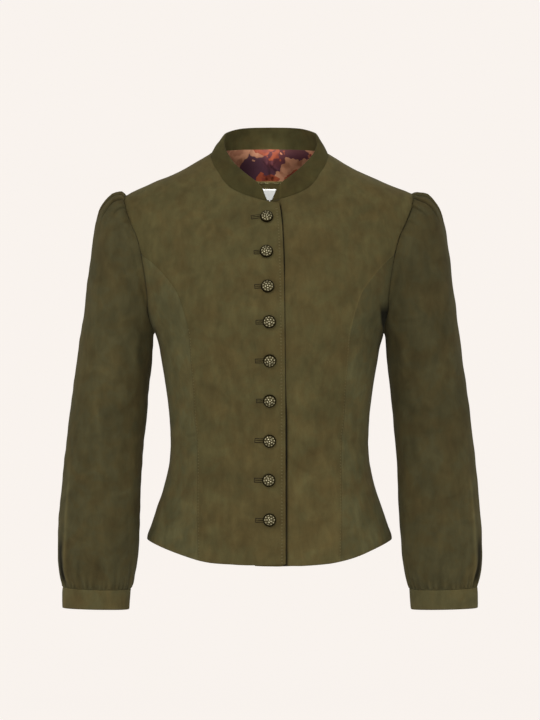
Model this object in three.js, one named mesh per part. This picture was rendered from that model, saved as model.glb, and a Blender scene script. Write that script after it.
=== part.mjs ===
// Stand-collar suede jacket, hollow, in millimetres. +X is the wearer's left, the front faces -Y, +Z is up.
// The origin lies midway between the two points where the shoulder seams meet the collar.
import * as THREE from 'three';

// Driving dimensions
const WALL = 1.8;              // suede with its lining
const CUFF_WALL = 2.4;         // folded cuff band
const COLLAR_WALL = 2.2;       // two layers of suede
const LINING_WALL = 0.9;
const LABEL_WALL = 0.6;
const SEAM_GAP = 0.32;         // between two pieces at a seam
const LAYER_GAP = 0.35;        // between two pieces that lie on each other
const LINING_GAP = 0.85;       // from the back's inner face, so that the facets of both stay clear
const OVERLAP_GAP = 0.8;       // between the two fronts where one covers the other
const WAIST_Z = -388;
const HEM_SIDE_Z = -514;       // hem at the side seam
const HEM_DROP_FRONT = 27.5;   // how much lower the hem is at the centre front
const HEM_DROP_BACK = 22;
const UNDERLAP_DROP = 1.5;     // the under front shows this much below the upper one
const ARMHOLE_TOP_Z = -57;
const ARMPIT_Z = -240;
const ARMHOLE_FRONT = 46;      // depth of the armhole before the shoulder line
const ARMHOLE_BACK = 50;
const ARMHOLE_ROUND = 0.9;
const OVERLAP_X = 21;          // front edge of the upper front, past the centre
const UNDERLAP_X = 19;         // how far the under front runs beneath it
const BUTTON_RADIUS = 8;
const AROUND = 32;             // points round a sleeve
const CAP_CROWD = 0.55;        // how much they crowd together at the cap

// Horizontal sections of the body: half width, depth before and behind, and how square each one is
const BODY = [
  { z: -545, half: 163.4, front: 113, back: 112, square: 1.86 },
  { z: -514, half: 163.3, front: 112, back: 111, square: 1.86 },
  { z: -495, half: 157.3, front: 109, back: 107, square: 1.92 },
  { z: -473, half: 149.7, front: 105, back: 102, square: 2.0 },
  { z: -452, half: 142.3, front: 102, back: 97, square: 2.07 },
  { z: -431, half: 136.8, front: 99.5, back: 92, square: 2.12 },
  { z: -410, half: 133.2, front: 98, back: 88, square: 2.15 },
  { z: -388, half: 131.8, front: 97, back: 86, square: 2.17 },
  { z: -356, half: 133.1, front: 99, back: 87.5, square: 2.17 },
  { z: -335, half: 135.3, front: 102, back: 90, square: 2.17 },
  { z: -314, half: 138.1, front: 106, back: 93.5, square: 2.17 },
  { z: -292, half: 141.6, front: 110.5, back: 97, square: 2.17 },
  { z: -271, half: 145.2, front: 115, back: 100, square: 2.16 },
  { z: -250, half: 149.2, front: 118, back: 103, square: 2.15 },
  { z: -240, half: 152.6, front: 118.4, back: 104, square: 2.15 },
  { z: -230, half: 159, front: 118, back: 105, square: 2.15 },
  { z: -214, half: 166, front: 116.4, back: 106.5, square: 2.15 },
  { z: -190, half: 171.5, front: 112, back: 107.5, square: 2.15 },
  { z: -150, half: 184, front: 103, back: 107.5, square: 2.1 },
  { z: -130, half: 191.5, front: 97.5, back: 106, square: 2.04 },
  { z: -112, half: 199, front: 91, back: 103, square: 2.0 },
  { z: -95, half: 206.5, front: 83, back: 99, square: 2.0 },
  { z: -83, half: 208.5, front: 77, back: 95.5, square: 2.0 },
  { z: -75, half: 207.5, front: 73, back: 93, square: 2.01 },
  { z: -68, half: 204, front: 69.5, back: 90.5, square: 2.03 },
  { z: -62, half: 198.5, front: 66.7, back: 88, square: 2.06 },
  { z: -57, half: 191, front: 64.5, back: 86, square: 2.08 },
  { z: -49, half: 175.4, front: 60.5, back: 82.5, square: 2.1 },
  { z: -41, half: 156.3, front: 57.2, back: 79, square: 2.1 },
  { z: -33, half: 137, front: 54.2, back: 75.5, square: 2.1 },
  { z: -25, half: 119.6, front: 51.4, back: 72, square: 2.1 },
  { z: -17, half: 105, front: 48.8, back: 68.5, square: 2.1 },
  { z: -9, half: 91.5, front: 46.5, back: 65, square: 2.1 },
  { z: 0, half: 77.5, front: 44, back: 61.5, square: 2.1 },
  { z: 12, half: 66, front: 41, back: 57, square: 2.1 },
];

// Height of the neck seam at each angle round the body, from the centre front to the centre back
const NECKLINE = [
  { angle: 0, z: -69.5 },
  { angle: 1, z: -68.7 },
  { angle: 7.8, z: -61.6 },
  { angle: 13.6, z: -53.6 },
  { angle: 21.5, z: -41 },
  { angle: 31.4, z: -28.3 },
  { angle: 56.7, z: -10 },
  { angle: 90, z: -1.5 },
  { angle: 120, z: 4 },
  { angle: 150, z: 8 },
  { angle: 180, z: 9 },
];

// Upper edge of the standing collar over the same angles of the neck seam
const COLLAR_TOP = [
  { angle: 0.9, x: 10.6, y: -61, z: -49 },
  { angle: 7.8, x: 17.2, y: -57, z: -42.5 },
  { angle: 13.6, x: 28, y: -51, z: -34 },
  { angle: 21.5, x: 39.5, y: -43, z: -24 },
  { angle: 31.4, x: 50, y: -34, z: -13 },
  { angle: 56.7, x: 60, y: -19, z: 3 },
  { angle: 78, x: 63, y: -8, z: 14 },
  { angle: 98, x: 62, y: 5, z: 24 },
  { angle: 118, x: 55, y: 23, z: 30 },
  { angle: 140, x: 40, y: 39, z: 35 },
  { angle: 160, x: 21, y: 48.5, z: 37 },
  { angle: 180, x: 0, y: 51, z: 37.5 },
];

// Distance of the front princess seam from the centre
const PRINCESS = [
  { z: -545, x: 92.5 },
  { z: -505, x: 92.5 },
  { z: -456, x: 94 },
  { z: -398, x: 94 },
  { z: -345, x: 98 },
  { z: -307, x: 100 },
  { z: -277, x: 102.5 },
  { z: -250, x: 104 },
  { z: -231, x: 107 },
  { z: -213, x: 112 },
  { z: -190, x: 120 },
  { z: -170, x: 134 },
  { z: -150, x: 153 },
  { z: -137.5, x: 170 },
];

// Front edge of the upper front
const FRONT_EDGE = [
  { z: -545, x: 21.6 },
  { z: -330, x: 21 },
  { z: -200, x: 20.5 },
  { z: -150, x: 19.3 },
  { z: -125, x: 18 },
  { z: -104, x: 17.2 },
  { z: -88, x: 16 },
  { z: -72, x: 14.3 },
];

// Sleeve rings: outer point, inner point, half depth, centre of the depth, height of cap and cuff gathers
const SLEEVE = [
  { outX: 197.5, outZ: -51.5, inX: 153.2, inZ: -241.2, half: 50.5, y: 1.6, cap: 1.2, wrist: 0 },
  { outX: 206.5, outZ: -52.5, inX: 153.5, inZ: -242.6, half: 54.5, y: 1.2, cap: 2.0, wrist: 0 },
  { outX: 217, outZ: -61, inX: 153.8, inZ: -244, half: 57, y: 1, cap: 2.0, wrist: 0 },
  { outX: 226.5, outZ: -76, inX: 154, inZ: -246, half: 58.5, y: 1, cap: 1.5, wrist: 0 },
  { outX: 233.5, outZ: -101, inX: 154.4, inZ: -249, half: 59.5, y: 1, cap: 0.8, wrist: 0 },
  { outX: 238.8, outZ: -138, inX: 155, inZ: -254, half: 60, y: 0.5, cap: 0.3, wrist: 0 },
  { outX: 244.5, outZ: -186, inX: 156.2, inZ: -265, half: 59.5, y: 0, cap: 0, wrist: 0 },
  { outX: 251.5, outZ: -240, inX: 158.2, inZ: -287, half: 58.5, y: -1, cap: 0, wrist: 0 },
  { outX: 259.5, outZ: -300, inX: 161.5, inZ: -322, half: 56.5, y: -3, cap: 0, wrist: 0 },
  { outX: 267.5, outZ: -364, inX: 165.6, inZ: -368, half: 54, y: -6.5, cap: 0, wrist: 0 },
  { outX: 274, outZ: -420, inX: 169.6, inZ: -420, half: 51, y: -10.5, cap: 0, wrist: 0 },
  { outX: 279, outZ: -468, inX: 171.6, inZ: -468, half: 49, y: -13.5, cap: 0, wrist: 0 },
  { outX: 281.6, outZ: -504, inX: 172.8, inZ: -504, half: 47.5, y: -15.5, cap: 0, wrist: 0.2 },
  { outX: 282, outZ: -530, inX: 174.5, inZ: -530, half: 46, y: -16.8, cap: 0, wrist: 0.7 },
  { outX: 281.3, outZ: -548, inX: 177, inZ: -548.5, half: 43.5, y: -17.5, cap: 0, wrist: 1.4 },
  { outX: 279.2, outZ: -562, inX: 180, inZ: -563.5, half: 40.5, y: -17.8, cap: 0, wrist: 1.9 },
  { outX: 277, outZ: -571, inX: 183, inZ: -573, half: 37, y: -18, cap: 0, wrist: 1.5 },
  { outX: 275.8, outZ: -577.2, inX: 185.6, inZ: -579.9, half: 34.5, y: -18, cap: 0, wrist: 0 },
];

// Cuff rings in the same terms
const CUFF = [
  { outX: 275.9, outZ: -577.6, inX: 185.4, inZ: -580.3, half: 34.6, y: -18 },
  { outX: 276.6, outZ: -587, inX: 186, inZ: -589.4, half: 34.8, y: -18 },
  { outX: 276.6, outZ: -597, inX: 187, inZ: -599, half: 34.6, y: -18 },
  { outX: 276.4, outZ: -605, inX: 187.6, inZ: -607, half: 34.2, y: -18 },
];

// Button centres on the upper front
const BUTTONS = [
  { x: -3.6, z: -90.2 },
  { x: -3.9, z: -135.1 },
  { x: -2.4, z: -180.2 },
  { x: -0.3, z: -226.8 },
  { x: 0.4, z: -277.7 },
  { x: 0.3, z: -329.3 },
  { x: 0.1, z: -381 },
  { x: -0.9, z: -431.5 },
  { x: 0.1, z: -481.8 },
];

// Outline of a shank button from its back to the top of its dome
const BUTTON_PROFILE = [
  { r: 0, h: 0 },
  { r: 2.6, h: 0 },
  { r: 2.5, h: 0.9 },
  { r: 7.5, h: 1.1 },
  { r: 8, h: 2 },
  { r: 7.2, h: 3.6 },
  { r: 5.2, h: 5.1 },
  { r: 2.7, h: 5.9 },
  { r: 0, h: 6.2 },
];

// Materials
const COLOURS = {
  suede: 0x554c30,
  suede_sleeve: 0x464029,
  suede_cuff: 0x544b30,
  metal: 0x8c8468,
  lining: 0x38232a,
  label: 0xd0d0c8,
};

const clamp = (v, lo, hi) => Math.min(hi, Math.max(lo, v));
const smooth = (v) => {
  const t = clamp(v, 0, 1);
  return t * t * (3 - 2 * t);
};
const rad = (degrees) => (degrees * Math.PI) / 180;

// A smooth curve through a table's column, with no overshoot between its rows
function column(table, key, name) {
  const xs = table.map((row) => row[key]);
  const ys = table.map((row) => row[name]);
  const slopes = xs.map((_, i) => {
    if (i === 0 || i === xs.length - 1) {
      const a = i === 0 ? 0 : i - 1;
      return (ys[a + 1] - ys[a]) / (xs[a + 1] - xs[a]);
    }
    const before = (ys[i] - ys[i - 1]) / (xs[i] - xs[i - 1]);
    const after = (ys[i + 1] - ys[i]) / (xs[i + 1] - xs[i]);
    return before * after <= 0 ? 0 : (2 * before * after) / (before + after);
  });
  return (x) => {
    const v = clamp(x, xs[0], xs[xs.length - 1]);
    let i = 0;
    while (i < xs.length - 2 && v > xs[i + 1]) i += 1;
    const h = xs[i + 1] - xs[i];
    const t = (v - xs[i]) / h;
    const rise = (1 + 2 * t) * (1 - t) * (1 - t) * ys[i] + t * t * (3 - 2 * t) * ys[i + 1];
    return rise + h * t * (1 - t) * ((1 - t) * slopes[i] - t * slopes[i + 1]);
  };
}

const halfAt = column(BODY, 'z', 'half');
const frontAt = column(BODY, 'z', 'front');
const backAt = column(BODY, 'z', 'back');
const squareAt = column(BODY, 'z', 'square');
const neckAt = column(NECKLINE, 'angle', 'z');
const princessAt = column(PRINCESS, 'z', 'x');
const frontEdgeAt = column(FRONT_EDGE, 'z', 'x');

// The hem sinks from the side seams to the centre, and the rows below the waist follow it
function bentZ(z, angle) {
  if (z >= WAIST_Z) return z;
  const c = Math.cos(angle);
  const drop = (c > 0 ? HEM_DROP_FRONT : HEM_DROP_BACK) * c * c;
  return z - (drop * (WAIST_Z - z)) / (WAIST_Z - HEM_SIDE_Z);
}

// A point of the body: angle 0 is the centre front, 90 degrees the side, 180 the centre back
function body(angle, z, side) {
  const power = 2 / squareAt(z);
  const s = Math.sin(angle);
  const c = Math.cos(angle);
  const depth = c > 0 ? -frontAt(z) : backAt(z);
  return new THREE.Vector3(
    side * Math.sign(s) * halfAt(z) * Math.abs(s) ** power,
    depth * Math.abs(c) ** power,
    bentZ(z, angle),
  );
}

function bodyNormal(angle, z, side) {
  const turn = 0.03;
  const along = body(angle + turn, z, side).sub(body(angle - turn, z, side));
  const up = body(angle, z + 1, side).sub(body(angle, z - 1, side));
  return along.cross(up).normalize().multiplyScalar(side);
}

// Angles of a point that is x from the centre, or y from the side, on the section at z
function angleOfX(x, z) {
  const s = (Math.abs(x) / halfAt(z)) ** (squareAt(z) / 2);
  return Math.sign(x) * Math.asin(clamp(s, 0, 1));
}

function angleOfY(y, z, behind) {
  const depth = behind ? backAt(z) : frontAt(z);
  const c = (Math.abs(y) / depth) ** (squareAt(z) / 2);
  const angle = Math.acos(clamp(c, 0, 1));
  return behind ? Math.PI - angle : angle;
}

// Distance of the body's side from the centre at a depth and height
function bodyX(y, z) {
  const depth = y < 0 ? frontAt(z) : backAt(z);
  const n = squareAt(z);
  return halfAt(z) * Math.max(0, 1 - (Math.abs(y) / depth) ** n) ** (1 / n);
}

// The armhole is an oval seen from the side; its points crowd together at the cap
const MID_Z = (ARMHOLE_TOP_Z + ARMPIT_Z) / 2;
const HALF_Z = (ARMHOLE_TOP_Z - ARMPIT_Z) / 2;

function capAngle(j, crowd) {
  const turn = (2 * Math.PI * j) / AROUND;
  return turn - crowd * Math.sin(turn);
}

function armhole(j, grow) {
  const a = capAngle(j, CAP_CROWD);
  const s = Math.sin(a);
  const reach = (s > 0 ? ARMHOLE_FRONT : ARMHOLE_BACK) + grow;
  const y = -Math.sign(s) * reach * Math.abs(s) ** ARMHOLE_ROUND;
  return { y, z: MID_Z + (HALF_Z + grow) * Math.cos(a) };
}

const ARM_ROWS = [];
for (let j = 0; j <= AROUND / 2; j += 1) ARM_ROWS.push(armhole(j, SEAM_GAP));

// How far the body's edge stands from the shoulder line or side seam at a height
function edgeY(z, behind) {
  const scale = behind ? (ARMHOLE_BACK + SEAM_GAP) / (ARMHOLE_FRONT + SEAM_GAP) : 1;
  for (let j = 0; j < ARM_ROWS.length - 1; j += 1) {
    const a = ARM_ROWS[j];
    const b = ARM_ROWS[j + 1];
    if (z <= a.z && z >= b.z) {
      const y = a.y + ((b.y - a.y) * (a.z - z)) / (a.z - b.z);
      return Math.max(SEAM_GAP / 2, Math.abs(y) * scale);
    }
  }
  return SEAM_GAP / 2;
}

const outerAngle = (z, behind) => angleOfY(edgeY(z, behind), z, behind);

// A closed wall from a grid of points and the directions in which its thickness is laid
function wallGeometry(points, inward, thickness, ring) {
  const rows = points.length;
  const cols = points[0].length;
  const position = [];
  const index = [];
  for (const row of points) {
    for (const p of row) position.push(p.x, p.y, p.z);
  }
  points.forEach((row, i) => {
    row.forEach((p, j) => {
      const q = p.clone().addScaledVector(inward[i][j], thickness);
      position.push(q.x, q.y, q.z);
    });
  });
  const at = (i, j, inner) => (inner ? rows * cols : 0) + i * cols + (j % cols);
  const quad = (a, b, c, d) => index.push(a, b, c, a, c, d);
  const last = ring ? cols : cols - 1;
  for (let i = 0; i < rows - 1; i += 1) {
    for (let j = 0; j < last; j += 1) {
      quad(at(i, j), at(i, j + 1), at(i + 1, j + 1), at(i + 1, j));
      quad(at(i + 1, j, true), at(i + 1, j + 1, true), at(i, j + 1, true), at(i, j, true));
    }
  }
  for (let j = 0; j < last; j += 1) {
    quad(at(0, j + 1), at(0, j), at(0, j, true), at(0, j + 1, true));
    quad(at(rows - 1, j), at(rows - 1, j + 1), at(rows - 1, j + 1, true), at(rows - 1, j, true));
  }
  if (!ring) {
    for (let i = 0; i < rows - 1; i += 1) {
      quad(at(i, 0), at(i + 1, 0), at(i + 1, 0, true), at(i, 0, true));
      quad(at(i + 1, cols - 1), at(i, cols - 1), at(i, cols - 1, true), at(i + 1, cols - 1, true));
    }
  }
  const geometry = new THREE.BufferGeometry();
  geometry.setAttribute('position', new THREE.Float32BufferAttribute(position, 3));
  geometry.setIndex(index);
  return outward(geometry);
}

// Turns a closed surface's faces to the outside
function outward(geometry) {
  const p = geometry.getAttribute('position');
  const index = geometry.getIndex().array;
  const a = new THREE.Vector3();
  const b = new THREE.Vector3();
  const c = new THREE.Vector3();
  let volume = 0;
  for (let i = 0; i < index.length; i += 3) {
    a.fromBufferAttribute(p, index[i]);
    b.fromBufferAttribute(p, index[i + 1]);
    c.fromBufferAttribute(p, index[i + 2]);
    volume += a.dot(b.cross(c));
  }
  if (volume < 0) {
    for (let i = 0; i < index.length; i += 3) {
      const keep = index[i + 1];
      index[i + 1] = index[i + 2];
      index[i + 2] = keep;
    }
  }
  geometry.computeVertexNormals();
  return geometry;
}

// Unit normals of a grid; out tells on which side they lie
function gridNormals(points, ring, out) {
  const rows = points.length;
  const cols = points[0].length;
  return points.map((row, i) => row.map((_, j) => {
    const up = points[Math.min(rows - 1, i + 1)][j].clone().sub(points[Math.max(0, i - 1)][j]);
    const after = ring ? row[(j + 1) % cols] : row[Math.min(cols - 1, j + 1)];
    const before = ring ? row[(j + cols - 1) % cols] : row[Math.max(0, j - 1)];
    return after.clone().sub(before).cross(up).normalize().multiplyScalar(out);
  }));
}

// A body panel: each row is a path over the body, divided evenly by its length
function panel(paths, side, cols, sink, wall) {
  const points = [];
  const inward = [];
  for (const path of paths) {
    const steps = 48;
    const trace = [];
    for (let k = 0; k <= steps; k += 1) {
      const at = path(k / steps);
      trace.push(body(at.angle, at.z, side));
    }
    const lengths = [0];
    for (let k = 1; k <= steps; k += 1) lengths.push(lengths[k - 1] + trace[k].distanceTo(trace[k - 1]));
    const row = [];
    const rowIn = [];
    for (let j = 0; j <= cols; j += 1) {
      const target = (lengths[steps] * j) / cols;
      let k = 0;
      while (k < steps - 1 && lengths[k + 1] < target) k += 1;
      const f = (k + (target - lengths[k]) / (lengths[k + 1] - lengths[k])) / steps;
      const at = path(clamp(f, 0, 1));
      const normal = bodyNormal(at.angle, at.z, side);
      const p = body(at.angle, at.z, side);
      p.addScaledVector(normal, -sink(p));
      row.push(p);
      rowIn.push(normal.negate());
    }
    points.push(row);
    inward.push(rowIn);
  }
  return wallGeometry(points, inward, wall, false);
}

const LOW_ROWS = [-514, -495, -473, -450, -426, -403, -380, -352, -322, -294, -268];
const ARM_Z = ARM_ROWS.map((row) => row.z);
const PRINCESS_TOP = ARM_Z[10];
const BLOCK_Z = ARM_Z[8];      // above this height the rows bend to the neckline
const SHOULDER_ROWS = [-46, -34, -22, -11, -1.5];

// Rows below the neck block, from the hem up
function rowsBelow(lowest, highest) {
  const all = [...LOW_ROWS, -250, PRINCESS_TOP - 4.5, ...ARM_Z].sort((a, b) => a - b);
  return all.filter((z) => z >= lowest && z <= highest);
}

// Rows of the neck block: they leave the armhole or shoulder seam at z and end on the neckline as it nears
function blockPath(z, inner, behind) {
  const rise = (z - BLOCK_Z) / (SHOULDER_ROWS[4] - BLOCK_Z);
  const end = outerAngle(z, behind);
  const topEnd = outerAngle(SHOULDER_ROWS[4], behind);
  return (f) => {
    const topStart = inner(neckAt(behind ? 180 : 0));
    const topAngle = topStart + (topEnd - topStart) * f;
    const neck = neckHeight(topAngle);
    const here = BLOCK_Z + rise * (neck - BLOCK_Z);
    const start = inner(BLOCK_Z + rise * (neckHeight(topStart) - BLOCK_Z));
    return { angle: start + (end - start) * f, z: here };
  };
}

// The neck seam; past the centre front it runs on level with a slight fall
function neckHeight(angle) {
  if (angle >= 0) return neckAt((angle * 180) / Math.PI);
  return NECKLINE[0].z - 40 * Math.min(0.1, -angle);
}

const blockRows = [...ARM_Z.filter((z) => z > BLOCK_Z - 0.5), ...SHOULDER_ROWS].sort((a, b) => a - b);
const flat = () => 0;

function front(side, edge, sink, drop) {
  const inner = (z) => -angleOfX(edge(z), z);
  const paths = [];
  for (const z of rowsBelow(HEM_SIDE_Z, BLOCK_Z - 0.5)) {
    const outer = z >= PRINCESS_TOP - 0.01
      ? outerAngle(z, false)
      : angleOfX(princessAt(z) - SEAM_GAP / 2, z);
    const low = drop * smooth((WAIST_Z - z) / (WAIST_Z - HEM_SIDE_Z));
    paths.push((f) => {
      const angle = inner(z) + (outer - inner(z)) * f;
      return { angle, z: z - low * smooth((rad(14) - angle) / rad(10)) };
    });
  }
  for (const z of blockRows) paths.push(blockPath(z, inner, false));
  return panel(paths, side, 8, sink, WALL);
}

function sideFront(side) {
  const paths = [];
  for (const z of rowsBelow(HEM_SIDE_Z, PRINCESS_TOP - 1)) {
    const outer = outerAngle(z, false);
    const inner = Math.min(angleOfX(princessAt(z) + SEAM_GAP / 2, z), outer - 0.01);
    paths.push((f) => ({ angle: inner + (outer - inner) * f, z }));
  }
  return panel(paths, side, 5, flat, WALL);
}

function back(side) {
  const inner = (z) => Math.PI - angleOfX(SEAM_GAP / 2, z);
  const paths = [];
  for (const z of rowsBelow(HEM_SIDE_Z, BLOCK_Z - 0.5)) {
    const outer = outerAngle(z, true);
    paths.push((f) => ({ angle: inner(z) + (outer - inner(z)) * f, z }));
  }
  for (const z of blockRows) paths.push(blockPath(z, inner, true));
  return panel(paths, side, 9, flat, WALL);
}

// The under front lies deeper where the upper one covers it
function underSink(p) {
  return (WALL + OVERLAP_GAP) * (1 - smooth((p.x - OVERLAP_X - 2) / 18));
}

// The standing collar, from one front end round the back to the other
function collar() {
  const topX = column(COLLAR_TOP, 'angle', 'x');
  const topY = column(COLLAR_TOP, 'angle', 'y');
  const topZ = column(COLLAR_TOP, 'angle', 'z');
  const stations = [0.9, 3.5, 7.8, 13.6, 21.5, 31.4, 43, 56.7, 68, 79, 90, 104, 120, 140, 160];
  const angles = [...stations.map((a) => -a), -180, ...stations.reverse()];
  const levels = 3;
  const points = [];
  for (let i = 0; i <= levels; i += 1) points.push([]);
  for (const signed of angles) {
    const side = signed < 0 ? -1 : 1;
    const a = Math.abs(signed);
    const z = neckAt(a);
    const foot = body(rad(a), z, side);
    const up = body(rad(a), z + 1, side).sub(foot).normalize();
    foot.addScaledVector(up, SEAM_GAP);
    const top = new THREE.Vector3(side * topX(a), topY(a), topZ(a));
    const out = new THREE.Vector3(foot.x, foot.y, 0).normalize();
    for (let i = 0; i <= levels; i += 1) {
      const t = i / levels;
      const p = foot.clone().lerp(top, t);
      p.addScaledVector(out, 1.6 * Math.sin(Math.PI * t));
      points[i].push(p);
    }
  }
  const inward = gridNormals(points, false, -1);
  return wallGeometry(points, inward, COLLAR_WALL, false);
}

// Small unevenness that is the same every time
function uneven(k) {
  const v = Math.sin(k * 12.9898) * 43758.5453;
  return v - Math.floor(v);
}

function ellipseRing(row, side, crowd) {
  const ring = [];
  for (let j = 0; j < AROUND; j += 1) {
    const a = capAngle(j, crowd);
    const c = Math.cos(a);
    ring.push(new THREE.Vector3(
      side * ((row.outX + row.inX) / 2 + ((row.outX - row.inX) / 2) * c),
      row.y - row.half * Math.sin(a),
      (row.outZ + row.inZ) / 2 + ((row.outZ - row.inZ) / 2) * c,
    ));
  }
  return ring;
}

// A sleeve from the armhole to the cuff, puffed at the cap and gathered at both ends
function sleeve(side) {
  const rings = [];
  const first = [];
  for (let j = 0; j < AROUND; j += 1) {
    const edge = armhole(j, 0);
    first.push(new THREE.Vector3(side * bodyX(edge.y, edge.z), edge.y, edge.z));
  }
  rings.push(first);
  SLEEVE.forEach((row, i) => {
    const crowd = CAP_CROWD * (1 - smooth((i - 3) / 7));
    const ring = ellipseRing(row, side, crowd);
    if (i < 7) {
      const clear = 1 + 0.6 * i;
      for (const p of ring) {
        const limit = bodyX(p.y, p.z) + clear;
        const near = p.z < ARMHOLE_TOP_Z && Math.abs(p.x) < limit;
        if (near) p.x = side * limit;
      }
    }
    rings.push(ring);
  });
  const normals = gridNormals(rings, true, 1);
  SLEEVE.forEach((row, i) => {
    for (let j = 0; j < AROUND; j += 1) {
      const turn = (2 * Math.PI * j) / AROUND;
      const zigzag = j % 2 ? -1 : 1;
      const top = smooth((Math.cos(turn) - 0.05) / 0.5);
      const cap = row.cap * top * zigzag * (0.6 + 0.6 * uneven(j + 3));
      const wrist = row.wrist * zigzag * (0.45 + 0.8 * uneven(j + 31));
      rings[i + 1][j].addScaledVector(normals[i + 1][j], side * (cap + wrist));
    }
  });
  const inward = gridNormals(rings, true, -1);
  if (side < 0) inward.forEach((row) => row.forEach((n) => n.negate()));
  return wallGeometry(rings, inward, WALL, true);
}

function cuff(side) {
  const rings = CUFF.map((row) => ellipseRing(row, side, 0));
  const inward = gridNormals(rings, true, -1);
  if (side < 0) inward.forEach((row) => row.forEach((n) => n.negate()));
  return wallGeometry(rings, inward, CUFF_WALL, true);
}

// The angle and height of a point of the back at x; a height of null follows the neck seam
function onBack(x, height) {
  let z = height === null ? 6 : height;
  let angle = Math.PI;
  for (let k = 0; k < 6; k += 1) {
    angle = Math.PI - angleOfX(Math.abs(x), z);
    if (height === null) z = neckAt((angle * 180) / Math.PI) - 0.5;
  }
  return { angle, z };
}

// A patch on the inside of the back: columns across, rows of height and spread, depth below the body
function inside(columns, rows, depth, wall, ridge) {
  const points = [];
  const inward = [];
  for (const { z: height, spread } of rows) {
    const row = [];
    const rowIn = [];
    for (const x of columns) {
      const side = x < 0 ? -1 : 1;
      const { angle, z } = onBack(x * spread, height);
      const normal = bodyNormal(angle, z, side);
      const p = body(angle, z, side).addScaledVector(normal, -depth - ridge(x, z));
      row.push(p);
      rowIn.push(normal.negate());
    }
    points.push(row);
    inward.push(rowIn);
  }
  return wallGeometry(points, inward, wall, false);
}

// The lining's centre-back pleat stands up as a soft ridge
function pleat(x, z) {
  const across = Math.max(0, 1 - Math.abs(x) / 5.5);
  const along = smooth((-3 - z) / 5) * smooth((z + 30) / 6);
  return 2.4 * across * along;
}

const mirrored = (list) => [...list.map((x) => -x).reverse(), 0, ...list];

function liningBack() {
  const rows = [
    { z: -88, spread: 1.3 },
    { z: -70, spread: 1.28 },
    { z: -52, spread: 1.25 },
    { z: -38, spread: 1.21 },
    { z: -30, spread: 1.18 },
    { z: -22, spread: 1.14 },
    { z: -14, spread: 1.1 },
    { z: -6, spread: 1.05 },
    { z: null, spread: 1 },
  ];
  return inside(mirrored([2.4, 6, 14, 24, 36, 50, 64]), rows, WALL + LINING_GAP, LINING_WALL, pleat);
}

function button(spot) {
  const angle = angleOfX(spot.x, spot.z);
  const z = spot.z;
  const low = z < WAIST_Z ? (z * (WAIST_Z - HEM_SIDE_Z) + HEM_DROP_FRONT * WAIST_Z)
    / (WAIST_Z - HEM_SIDE_Z + HEM_DROP_FRONT) : z;
  const normal = bodyNormal(angle, low, 1);
  const place = body(angle, low, 1).addScaledVector(normal, LAYER_GAP);
  const outline = BUTTON_PROFILE.map((p) => new THREE.Vector2((p.r / 8) * BUTTON_RADIUS, p.h));
  const geometry = new THREE.LatheGeometry(outline, 12);
  const turn = new THREE.Quaternion().setFromUnitVectors(new THREE.Vector3(0, 1, 0), normal);
  geometry.applyQuaternion(turn);
  geometry.translate(place.x, place.y, place.z);
  return outward(geometry);
}

function mesh(name, geometry, colour, metal) {
  const material = new THREE.MeshStandardMaterial({
    color: COLOURS[colour],
    roughness: metal ? 0.4 : 0.95,
    metalness: metal ? 1 : 0,
  });
  material.name = colour;
  const made = new THREE.Mesh(geometry, material);
  made.name = name;
  return made;
}

const jacket = new THREE.Group();
jacket.name = 'suede_jacket';
jacket.add(mesh('front_right', front(-1, frontEdgeAt, flat, 0), 'suede'));
jacket.add(mesh('front_left', front(1, () => UNDERLAP_X, underSink, UNDERLAP_DROP), 'suede'));
for (const [name, side] of [['right', -1], ['left', 1]]) {
  jacket.add(mesh(`side_front_${name}`, sideFront(side), 'suede'));
  jacket.add(mesh(`back_${name}`, back(side), 'suede'));
  jacket.add(mesh(`sleeve_${name}`, sleeve(side), 'suede_sleeve'));
  jacket.add(mesh(`cuff_${name}`, cuff(side), 'suede_cuff'));
}
jacket.add(mesh('collar', collar(), 'suede_sleeve'));
jacket.add(mesh('lining_back', liningBack(), 'lining'));

const patchDepth = WALL + LINING_GAP + LINING_WALL + LAYER_GAP;
const patchRows = [-80, -70, -52, -38, -31].map((z) => ({ z, spread: 1.25 }));
const patch = inside(mirrored([2.4, 6, 14, 22]), patchRows, patchDepth, LINING_WALL, flat);
jacket.add(mesh('label_patch', patch, 'suede'));
const labelDepth = patchDepth + LINING_WALL + LAYER_GAP;
const labelRows = [-66, -52, -41].map((z) => ({ z, spread: 1.25 }));
const label = inside(mirrored([2.4, 6, 12]), labelRows, labelDepth, LABEL_WALL, flat);
jacket.add(mesh('label', label, 'label'));
BUTTONS.forEach((spot, i) => {
  jacket.add(mesh(`button_${i + 1}`, button(spot), 'metal', true));
});

export default jacket;
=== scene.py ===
"""Stand-collar suede jacket: cloth shells, sewing, buttons, lining and studio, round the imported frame."""

import math

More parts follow.
